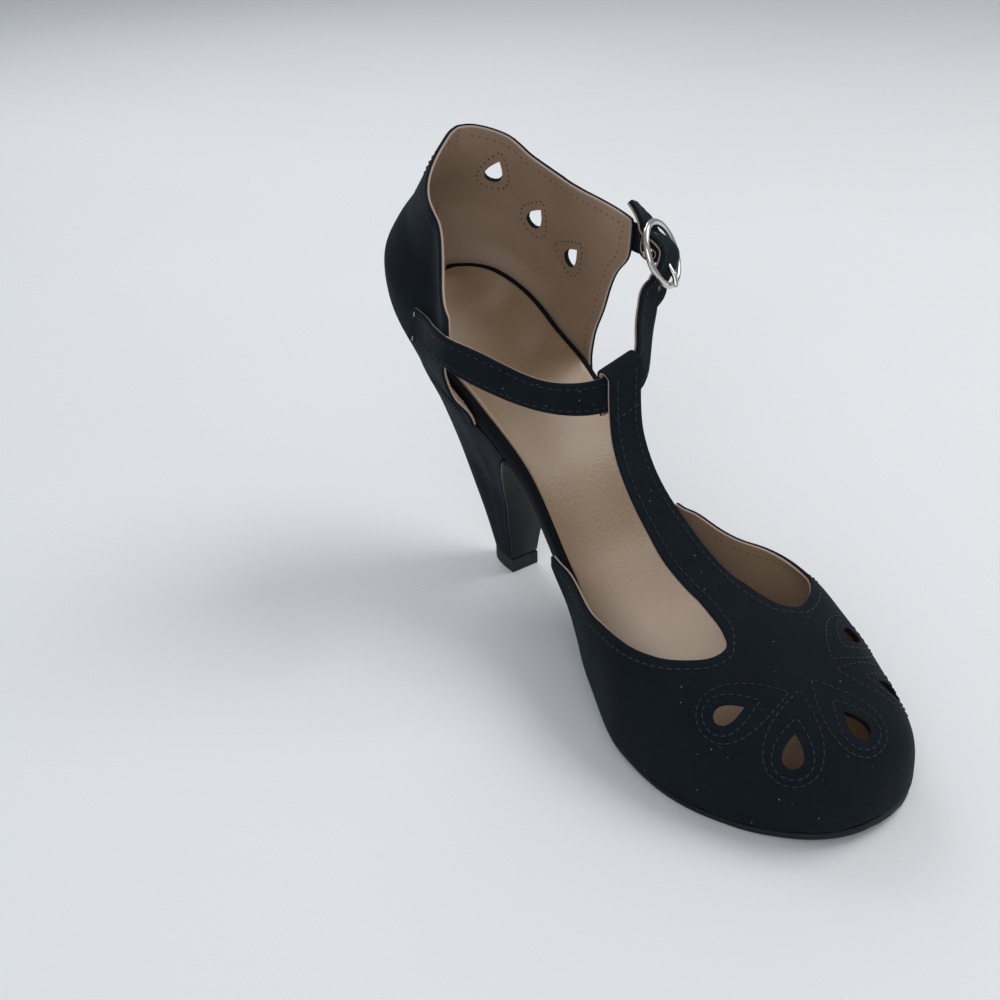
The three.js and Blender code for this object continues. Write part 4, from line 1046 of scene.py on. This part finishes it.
def under_point(q, start, along, across):
    """The place on the vamp straight under a point of the plane that touches it."""
    x, y = start
    for _ in range(8):
        here = vamp_surface(x, y)
        dx = vamp_surface(x + 0.05, y) - here
        dy = vamp_surface(x, y + 0.05) - here
        moves = np.array([[np.dot(dx, axis), np.dot(dy, axis)] for axis in (along, across)]) / 0.05
        step = np.linalg.solve(moves, [np.dot(q - here, along), np.dot(q - here, across)])
        step = np.clip(step, -1.5, 1.5)
        if edge_share(x + step[0], y + step[1]) > 0.97:
            break
        x, y = x + step[0], y + step[1]
    return x, y


def petal_rows():
    """Two rows of stitching round each cut-out of the vamp, the outer one drawn out towards its tip."""
    rows = []
    for at, side, tip in VAMP_DROPS:
        here, away, to_tip = drop_place(at, side, tip)
        along, across = drop_axes(away, to_tip)
        for longer, wider, shift in PETAL_ROWS:
            points, normals = [], []
            for i in range(61):
                a, b = tear(2 * math.pi * i / 60, DROP_LENGTH + longer, DROP_WIDTH + wider, 1.0)
                q = here + along * (a + shift) + across * b
                x, y = under_point(q, here[:2] + (q - here)[:2] * 0.8, along, across)
                points.append(vamp_surface(x, y))
                normals.append(vamp_normal(x, y))
            rows.append((points, normals))
    return rows


join_rows("petal_stitch", petal_rows(), THREAD, pitch=2.3, length=1.7, radius=0.2)

# ---- Quarter

cup = {n: column(CUPS, n) for n in CUPS if n != "at"}
cup_front = {n: column(FRONTS, n) for n in FRONTS if n != "at"}
topline = {MEDIAL: column(TOPS, "medial"), LATERAL: column(TOPS, "lateral")}


def cup_plan(level, along, side):
    name = "medial" if side < 0 else "lateral"
    back = cup["back"](level) * CUP_LENGTH
    round_ = cup["inner" if side < 0 else "round"](level) * CUP_LENGTH
    wide = cup[name](level) * BALL
    wide_front = cup_front[name](level) * BALL
    end = cup_front[name + "_end"](level) * CUP_LENGTH
    if along < 0.5:
        turn = along * math.pi
        power = 2 / cup["full"](level) if side < 0 else 1
        return (back + round_ * (1 - math.cos(turn) ** power), side * wide * math.sin(turn) ** power)
    part = (along - 0.5) * 2
    return mix(back + round_, end, part), side * mix(wide, wide_front, ease(part))


def cup_surface(level, along, side):
    low = board_under(cup_plan(0, along, side)[0])
    high = board_under(0) + CUP_HEIGHT * topline[side](along)
    x, y = cup_plan(level, along, side)
    return vec(x, y, mix(low, high, level))


def cup_ahead(level, along, side):
    return cup_surface(level, along + CUP_STEP, side) - cup_surface(level, along - CUP_STEP, side)


def cup_above(level, along, side):
    return cup_surface(level + CUP_STEP, along, side) - cup_surface(level - CUP_STEP, along, side)


def cup_normal(level, along, side):
    a = cup_surface(level, min(1, along + 0.01), side) - cup_surface(level, max(0, along - 0.01), side)
    u = cup_surface(min(1, level + 0.01), along, side) - cup_surface(max(0, level - 0.01), along, side)
    n = unit(np.cross(u, a))
    return n if n[1] * side > 0 or along < 0.1 and n[0] < 0 else -n


CUP_HALF, CUP_LEVELS = 52, 26
points = []
for i in range(-CUP_HALF, CUP_HALF + 1):
    for j in range(CUP_LEVELS + 1):
        points.append(cup_surface(j / CUP_LEVELS, abs(i) / CUP_HALF, MEDIAL if i < 0 else LATERAL))
faces = [tuple(reversed(q)) for q in grid(2 * CUP_HALF + 1, CUP_LEVELS + 1)]
p, f, m = shell(points, faces, WALL)
quarter = make("quarter_suede", p, f, [SUEDE, LINING, EDGE], m, replaces=["quarter"], slot="suede")
subdivide(quarter)
cup_drops = []
for along, up, tip in CUP_DROPS:
    here = cup_surface(up, along, LATERAL)
    ahead, above = unit(cup_ahead(up, along, LATERAL)), unit(cup_above(up, along, LATERAL))
    to_tip = ahead * math.cos(math.radians(tip)) + above * math.sin(math.radians(tip))
    cup_drops.append((here, unit(np.cross(above, ahead)), to_tip, along, up, ahead, above))
cut(quarter, [drop_cutter(f"cutter_cup_{i}", *row[:3], SUEDE_RIM) for i, row in enumerate(cup_drops)])
sharpen(quarter, 50)

# Stitches of the heel cup: along its edges on both faces, round the cut-outs, and the seam at the back; on
# the lining, the back seam and the marks round the cut-outs are dark painted shade of the seam's groove and
# of the stitch holes
rows_in, rows_out = [], []
for side in (MEDIAL, LATERAL):
    line, normals = [], []
    for i in range(3, 51):
        along = i / 52
        height = cup_surface(1, along, side)[2] - cup_surface(0, along, side)[2]
        level = 1 - CUP_STITCH / height
        line.append(cup_surface(level, along, side))
        normals.append(cup_normal(level, along, side))
    for i in range(1, 20):
        level = mix(0.93, 0.06, i / 19)
        along = 1 - CUP_FRONT_STITCH / CUP_LENGTH / 0.62
        line.append(cup_surface(level, along, side))
        normals.append(cup_normal(level, along, side))
    rows_out.append((line, normals))
    rows_in.append(lining_row(line, normals))
join_rows("cup_edge_stitch", rows_out, THREAD)
join_rows("cup_lining_stitch", rows_in, THREAD_TAN, pitch=2.7, length=1.3, radius=0.22, lift=0.04)
rows_in, rows_out = [], []
for here, away, to_tip, along0, up0, ahead, above in cup_drops:
    along, across = drop_axes(away, to_tip)
    span = np.linalg.norm(cup_ahead(up0, along0, LATERAL)) / (2 * CUP_STEP)
    rise = np.linalg.norm(cup_above(up0, along0, LATERAL)) / (2 * CUP_STEP)
    longer, wider, shift = CUP_PETAL
    line, normals = [], []
    for i in range(49):
        a, b = tear(2 * math.pi * i / 48, DROP_LENGTH + longer, DROP_WIDTH + wider, 1.0)
        q = here + along * (a + shift) + across * b
        step = q - here
        place_along = along0 + np.dot(step, ahead) / span
        place_up = up0 + np.dot(step, above) / rise
        line.append(cup_surface(place_up, place_along, LATERAL))
        normals.append(cup_normal(place_up, place_along, LATERAL))
    rows_out.append((line, normals))
    rows_in.append(lining_row(line, normals))
# On the lining the back seam is a dark cord of painted shade, standing for the shade in its groove
for name, depth, sign, thread in (("cup_back_seam", 0, 1, THREAD),
                                  ("cup_back_seam_groove_shade", WALL, -1, PAINTED_HOLE_SHADE)):
    line = [cup_surface(mix(0.99, 0.02, i / 30), 0, LATERAL) + vec(depth, 0, 0) for i in range(31)]
    stitch_row(name, line, [vec(-sign, 0, 0.1)] * 31, thread, pitch=2.0, length=2.1, radius=0.25, lift=0.0)
join_rows("cup_drop_stitch", rows_out, THREAD, pitch=2.2, length=1.6, radius=0.2)
# Short dark stubs round the cut-outs on the lining are painted shade of the stitch holes
join_rows("cup_drop_lining_hole_shade", rows_in, PAINTED_HOLE_SHADE, pitch=2.2, length=0.7, radius=0.3, lift=0.02)

# ---- Straps


def evened(line, near):
    """Takes the waves out of a line, most of all away from the place near, where it has to turn sharply."""
    count = len(line)
    at = np.array(line)
    out = []
    for i in range(count):
        free = mix(1.0, 9.0, ease((np.linalg.norm(at[i] - near) - 13) / 8))
        reach = min(free, i * 0.5 + 0.1, (count - 1 - i) * 0.5 + 0.1)
        weights = np.exp(-0.5 * ((np.arange(count) - i) / reach) ** 2)
        out.append((at * weights[:, None]).sum(axis=0) / weights.sum())
    return out


def strap_mesh(rows, width, thickness, steps, even=None):
    """Flat strap with rounded edges along a smooth line: its outer face is suede, its back is lining."""
    line = smooth_line([r[0] for r in rows], steps)
    wides = smooth_line([vec(*r[1]) for r in rows], steps)
    if even is not None:
        line, wides = evened(line, even), evened(wides, even)
    section = []
    half, t = width / 2, thickness / 2
    for k in range(13):
        section.append((mix(half - 0.5, -half + 0.5, k / 12), t, 0))
    section += [(-half + 0.12, t - 0.25, 0), (-half, t * 0.35, 0), (-half + 0.1, -t * 0.15, 0),
                (-half + 0.25, -t * 0.3, 2), (-half + 0.25, -t * 0.8, 2), (-half + 0.45, -t, 1)]
    for k in range(1, 12):
        section.append((mix(-half + 0.5, half - 0.5, k / 12), -t, 1))
    section += [(half - 0.45, -t, 2), (half - 0.25, -t * 0.8, 2), (half - 0.25, -t * 0.3, 0),
                (half - 0.1, -t * 0.15, 0), (half, t * 0.35, 0), (half - 0.12, t - 0.25, 0)]
    rings, frames_out = [], []
    for i in range(steps + 1):
        ahead = unit(line[min(i + 1, steps)] - line[max(i - 1, 0)])
        wide = unit(wides[i] - ahead * np.dot(wides[i], ahead))
        away = unit(np.cross(ahead, wide))
        rings.append([line[i] + wide * a + away * b for a, b, _ in section])
        frames_out.append((line[i], ahead, wide, away))
    points, faces = loft(rings)
    slots = [kind for _, _, kind in section] * steps + [0] * (2 * len(section))
    return points, outward(points, faces), slots, frames_out


def from_rows(rows):
    return [(vec(a * LENGTH, s * BALL, u * SEAT), w) for a, s, u, w in rows]


RING_MIDDLE = vec(CUP_LENGTH + 11.45, 0.398 * BALL, 1.187 * SEAT)
RING_OUT = unit((0.809, 0.403, 0.428))
RING_ACROSS = unit(np.cross(RING_OUT, vec(-0.514, 0.13, 0.848)))
RING_UP = np.cross(RING_ACROSS, RING_OUT)


def on_ring(up, across, out):
    return RING_MIDDLE + RING_UP * up + RING_ACROSS * across + RING_OUT * out


RING_REACH = (RING_LENGTH - WIRE) / 2
RING_HALF = (RING_WIDTH - WIRE) / 2
PRONG_EYE = BAR / 2 + GAP + PRONG / 2
UNDER_RING = -(WIRE / 2 + GAP + STRAP_THICK / 2)
OVER_BAR = PRONG_EYE + PRONG / 2 + GAP + STRAP_THICK / 2 - BAR_DROP


def ankle_rows():
    solid_frames = strap_frames(15, 5, 5)
    above, loop = solid_frames[14], solid_frames[13]
    wide = unit(above[0] - loop[0])
    down = (STRAP_WIDTH / 2 - 0.3) / np.linalg.norm(above[0] - loop[0]) - 1
    middle = mix(above[0], loop[0], down) - loop[2] * LOOP_BEND
    reach = loop[3] / 2 + 1.6

    def on_cup(along, level):
        here = cup_surface(level, along, MEDIAL)
        wide_here = unit(cup_surface(level + 0.05, along, MEDIAL) - here)
        out = unit(np.cross(cup_ahead(level, along, MEDIAL), wide_here))
        return here + out * (2 * CURVED_GAP + STRAP_THICK / 2), wide_here
    between = mix(UNDER_RING, OVER_BAR, 0.74)
    return [
        on_cup(0.6, 0.43), on_cup(0.78, 0.58), on_cup(0.97, 0.75), *from_rows(INNER_STRAP),
        *((middle + loop[1] * reach * t, wide) for t in (-1, -0.6, 0, 0.6, 1)),
        *from_rows(OUTER_STRAP),
        (on_ring(-RING_REACH, 1.6, UNDER_RING - 1.7), RING_ACROSS),
        (on_ring(-RING_REACH * 0.74, 0.7, UNDER_RING - 0.5), RING_ACROSS),
        (on_ring(-RING_REACH * 0.32, 0.2, between), RING_ACROSS),
        (on_ring(0, 0, OVER_BAR + 0.1), RING_ACROSS),
        (on_ring(RING_REACH * 0.32, 0, between), RING_ACROSS),
        (on_ring(RING_REACH * 0.74, 0, UNDER_RING - 0.1), RING_ACROSS),
        (on_ring(RING_REACH, 0, UNDER_RING - 0.6), RING_ACROSS),
        *from_rows(STRAP_TAIL)]


def prong_points():
    return [on_ring(-PRONG_EYE * 0.5, 0, PRONG_EYE * 0.87 - BAR_DROP),
            on_ring(-RING_REACH * 0.45, 0, WIRE / 2 + 0.4),
            on_ring(-RING_REACH * 0.8, 0, WIRE / 2 + GAP + PRONG / 2 + 0.2),
            on_ring(-RING_REACH - 1.2, 0, WIRE / 2 + GAP + PRONG / 2 + 0.1)]


def tube(points, radius, closed=False, sides=16, ends=True):
    """A round bar along points."""
    pts = [np.asarray(q, float) for q in points]
    count = len(pts)
    rings = []
    side = None
    for i in range(count):
        a = pts[i - 1] if closed or i > 0 else pts[0]
        b = pts[(i + 1) % count] if closed else pts[min(i + 1, count - 1)]
        ahead = unit(b - a)
        if side is None:
            side = unit(np.cross(ahead, vec(0.3, 0.2, 0.9)))
        side = unit(side - ahead * np.dot(side, ahead))
        up = np.cross(ahead, side)
        size = radius
        if not closed and ends:
            from_end = min(i, count - 1 - i)
            size = radius * (0.45, 0.85, 1)[min(from_end, 2)]
        rings.append([pts[i] + side * size * math.cos(turn) + up * size * math.sin(turn)
                      for turn in turns(sides)])
    if closed:
        rings.append(rings[0])
        p, f = loft(rings, closed_ends=False)
    else:
        p, f = loft(rings)
    return p, outward(p, f)


p, f, m, strap_line = strap_mesh(ankle_rows(), STRAP_WIDTH, STRAP_THICK, 260, RING_MIDDLE)
ankle = make("ankle_strap_suede", p, f, [SUEDE, STRAP_BACK, EDGE], m, replaces=["ankle_strap"], slot="suede")
prong_way = tube(smooth_line(prong_points(), 20), PRONG / 2 + GAP * 0.6, sides=12, ends=False)
holes = [make("cutter_prong", *prong_way, [SUEDE_RIM])]
over_bar = on_ring(0, 0, OVER_BAR + 0.1)
middle_index = min(range(len(strap_line)), key=lambda i: np.linalg.norm(strap_line[i][0] - over_bar))


def strap_at(distance):
    """A place on the strap at a distance along it from the buckle's bar."""
    line = Path([q for q, *_ in strap_line])
    start = line.lengths[middle_index]
    index = int(np.argmin(np.abs(line.lengths - (start + distance))))
    return strap_line[index]


for k, distance in enumerate(HOLE_PLACES):
    here, ahead, wide, away = strap_at(distance)
    p, f = tube([here - away * 3, here + away * 3], HOLE_RADIUS, sides=20, ends=False)
    holes.append(make(f"cutter_hole_{k}", p, f, [EDGE]))
cut(ankle, holes)
sharpen(ankle, 50)
for tag, side_out, thread in (("front", 1, THREAD), ("back", -1, THREAD_LIGHT)):
    rows = []
    for edge in (-1, 1):
        part = strap_line[6:-4]
        line = [q + w * edge * (STRAP_WIDTH / 2 - STRAP_STITCH) + a * side_out * STRAP_THICK / 2
                for q, _, w, a in part]
        rows.append((line, [a * side_out for *_, a in part]))
    join_rows(f"ankle_{tag}_stitch", rows, thread, pitch=2.8, length=1.9, radius=0.2)

here, ahead, wide, away = strap_line[3]
for k, edge in enumerate((-1, 1)):
    line = [here + wide * edge * (STRAP_WIDTH / 2 - 1.5 + t) + away * (STRAP_THICK / 2 + 0.1)
            for t in (-1.5, 0, 1.5)]
    stitch_row(f"ankle_end_thread_{k}", line, [away] * 3, THREAD_LIGHT, pitch=2.0, length=1.8, radius=0.16)


def tab_rows():
    fold = BAR / 2 + GAP + TAB_THICK / 2
    bar = on_ring(0, 0, -BAR_DROP)
    tab = from_rows(TAB_STRAP)
    back = tab[1][0] - bar
    back = unit(back - RING_ACROSS * np.dot(back, RING_ACROSS))
    side = unit(np.cross(RING_ACROSS, back))

    def on_bar(along, beside):
        return bar + back * along + side * beside, RING_ACROSS
    rows = [*tab, on_bar(2.4, fold)]
    for i in range(7):
        turn = i / 6 * math.pi
        rows.append(on_bar(-fold * math.sin(turn), fold * math.cos(turn)))
    rows.append(on_bar(5, -fold))
    return rows, on_bar


rows, on_bar = tab_rows()
p, f, m, _ = strap_mesh(rows, TAB_WIDTH, TAB_THICK, 90)
tab = make("buckle_strap_suede", p, f, [SUEDE, SUEDE_RIM, EDGE], m, replaces=["buckle_strap"], slot="suede")
slit = PRONG / 2 + GAP
slit_box = ((-5, -4), (3.2, -4), (3.2, 4), (-5, 4))
p, f = loft([[on_bar(a, b)[0] + RING_ACROSS * offset for a, b in slit_box] for offset in (-slit, slit)])
cut(tab, [make("cutter_slit", p, outward(p, f), [SUEDE_RIM])])
sharpen(tab, 50)

# ---- Buckle

wire = [on_ring(RING_REACH * math.cos(turn), RING_HALF * math.sin(turn), 0) for turn in turns(120)]
bar = smooth_line([on_ring(0, s * RING_HALF, -BAR_DROP) for s in (-1, -0.5, 0.5, 1)], 40)
p, f = joined(tube(wire, WIRE / 2, closed=True, sides=20), tube(bar, BAR / 2, sides=16))
make("buckle_ring", p, f, [NICKEL], replaces=["buckle_frame"], slot="buckle")
eye = [on_ring(PRONG_EYE * math.cos(turn), 0, PRONG_EYE * math.sin(turn) - BAR_DROP) for turn in turns(48)]
p, f = joined(tube(eye, PRONG / 2, closed=True, sides=14),
              tube(smooth_line(prong_points(), 40), PRONG / 2, sides=14))
make("buckle_pin", p, f, [NICKEL], replaces=["buckle_prong"], slot="buckle")

# ---- Camera, floor and light

# The photo's camera, as fitted to it: turns, focal length in pixels of its 1000, place in millimetres
CAMERA_PITCH, CAMERA_ROLL, CAMERA_YAW = math.radians(30.03), math.radians(1.60), math.radians(-54.5)
CAMERA_FOCAL, PHOTO_HALF = 1305.9, 500
CAMERA_PLACE = (380.03, -249.21, 273.2)
forward = vec(0, math.cos(CAMERA_PITCH), -math.sin(CAMERA_PITCH))
right = vec(1, 0, 0)
down = np.cross(forward, right)
c, s = math.cos(CAMERA_ROLL), math.sin(CAMERA_ROLL)
right, down = right * c + down * s, -right * s + down * c
cy, sy = math.cos(CAMERA_YAW), math.sin(CAMERA_YAW)
to_shoe = np.array([[cy, sy, 0], [-sy, cy, 0], [0, 0, 1]])
right, down, forward = (to_shoe @ v for v in (right, down, forward))
camera = add("camera", bpy.data.cameras.new("camera"))
camera.data.angle = 2 * math.atan(PHOTO_HALF / CAMERA_FOCAL)
camera.data.clip_start = 0.01
location = place(CAMERA_PLACE)
matrix = Matrix.Identity(4)
for k, axis in enumerate((right, -down, -forward)):
    for r in range(3):
        matrix[r][k] = axis[r]
for r in range(3):
    matrix[r][3] = location[r]
camera.matrix_world = matrix
bpy.context.scene.camera = camera


def plain(name, colour, rough):
    n = Nodes(name)
    tone = n.ramp(n.noise(3, 2, 0.5), [(0.3, tinted(colour, 0.97)), (0.7, colour)])
    return n.finish(tone, None, rough, level=0.3)


def flat(name, corners, material):
    mesh = bpy.data.meshes.new(name)
    mesh.from_pydata([tuple(q) for q in corners], [], [(0, 1, 2, 3)])
    mesh.materials.append(material)
    obj = add(name, mesh)


FLOOR = plain("floor_pale", (0.93, 0.95, 0.98), 0.6)
flat("floor", [(-3, -3, 0), (3, -3, 0), (3, 3, 0), (-3, 3, 0)], FLOOR)


def area(name, spot, target, size, power, colour):
    light = bpy.data.lights.new(name, "AREA")
    light.shape = "DISK"
    light.size = size
    light.energy = power
    light.color = colour
    obj = add(name, light)
    obj.location = spot
    obj.rotation_euler = (Vector(target) - Vector(spot)).to_track_quat("-Z", "Y").to_euler()


area("key", (0.35, 0.75, 1.15), (0.07, 0, 0.05), 0.8, 7.0, (1, 0.985, 0.96))
area("fill", (0.9, -0.9, 0.8), (0.07, 0, 0.05), 1.1, 5.2, (0.96, 0.98, 1))
area("back", (-0.9, 0.2, 0.9), (0.05, 0, 0.08), 0.8, 3.4, (1, 1, 1))
world = bpy.data.worlds.new("world")
world.use_nodes = True
world.node_tree.nodes["Background"].inputs[0].default_value = (0.86, 0.9, 0.93, 1)
world.node_tree.nodes["Background"].inputs[1].default_value = 0.36
bpy.context.scene.world = world
bpy.context.scene.view_settings.view_transform = "Standard"
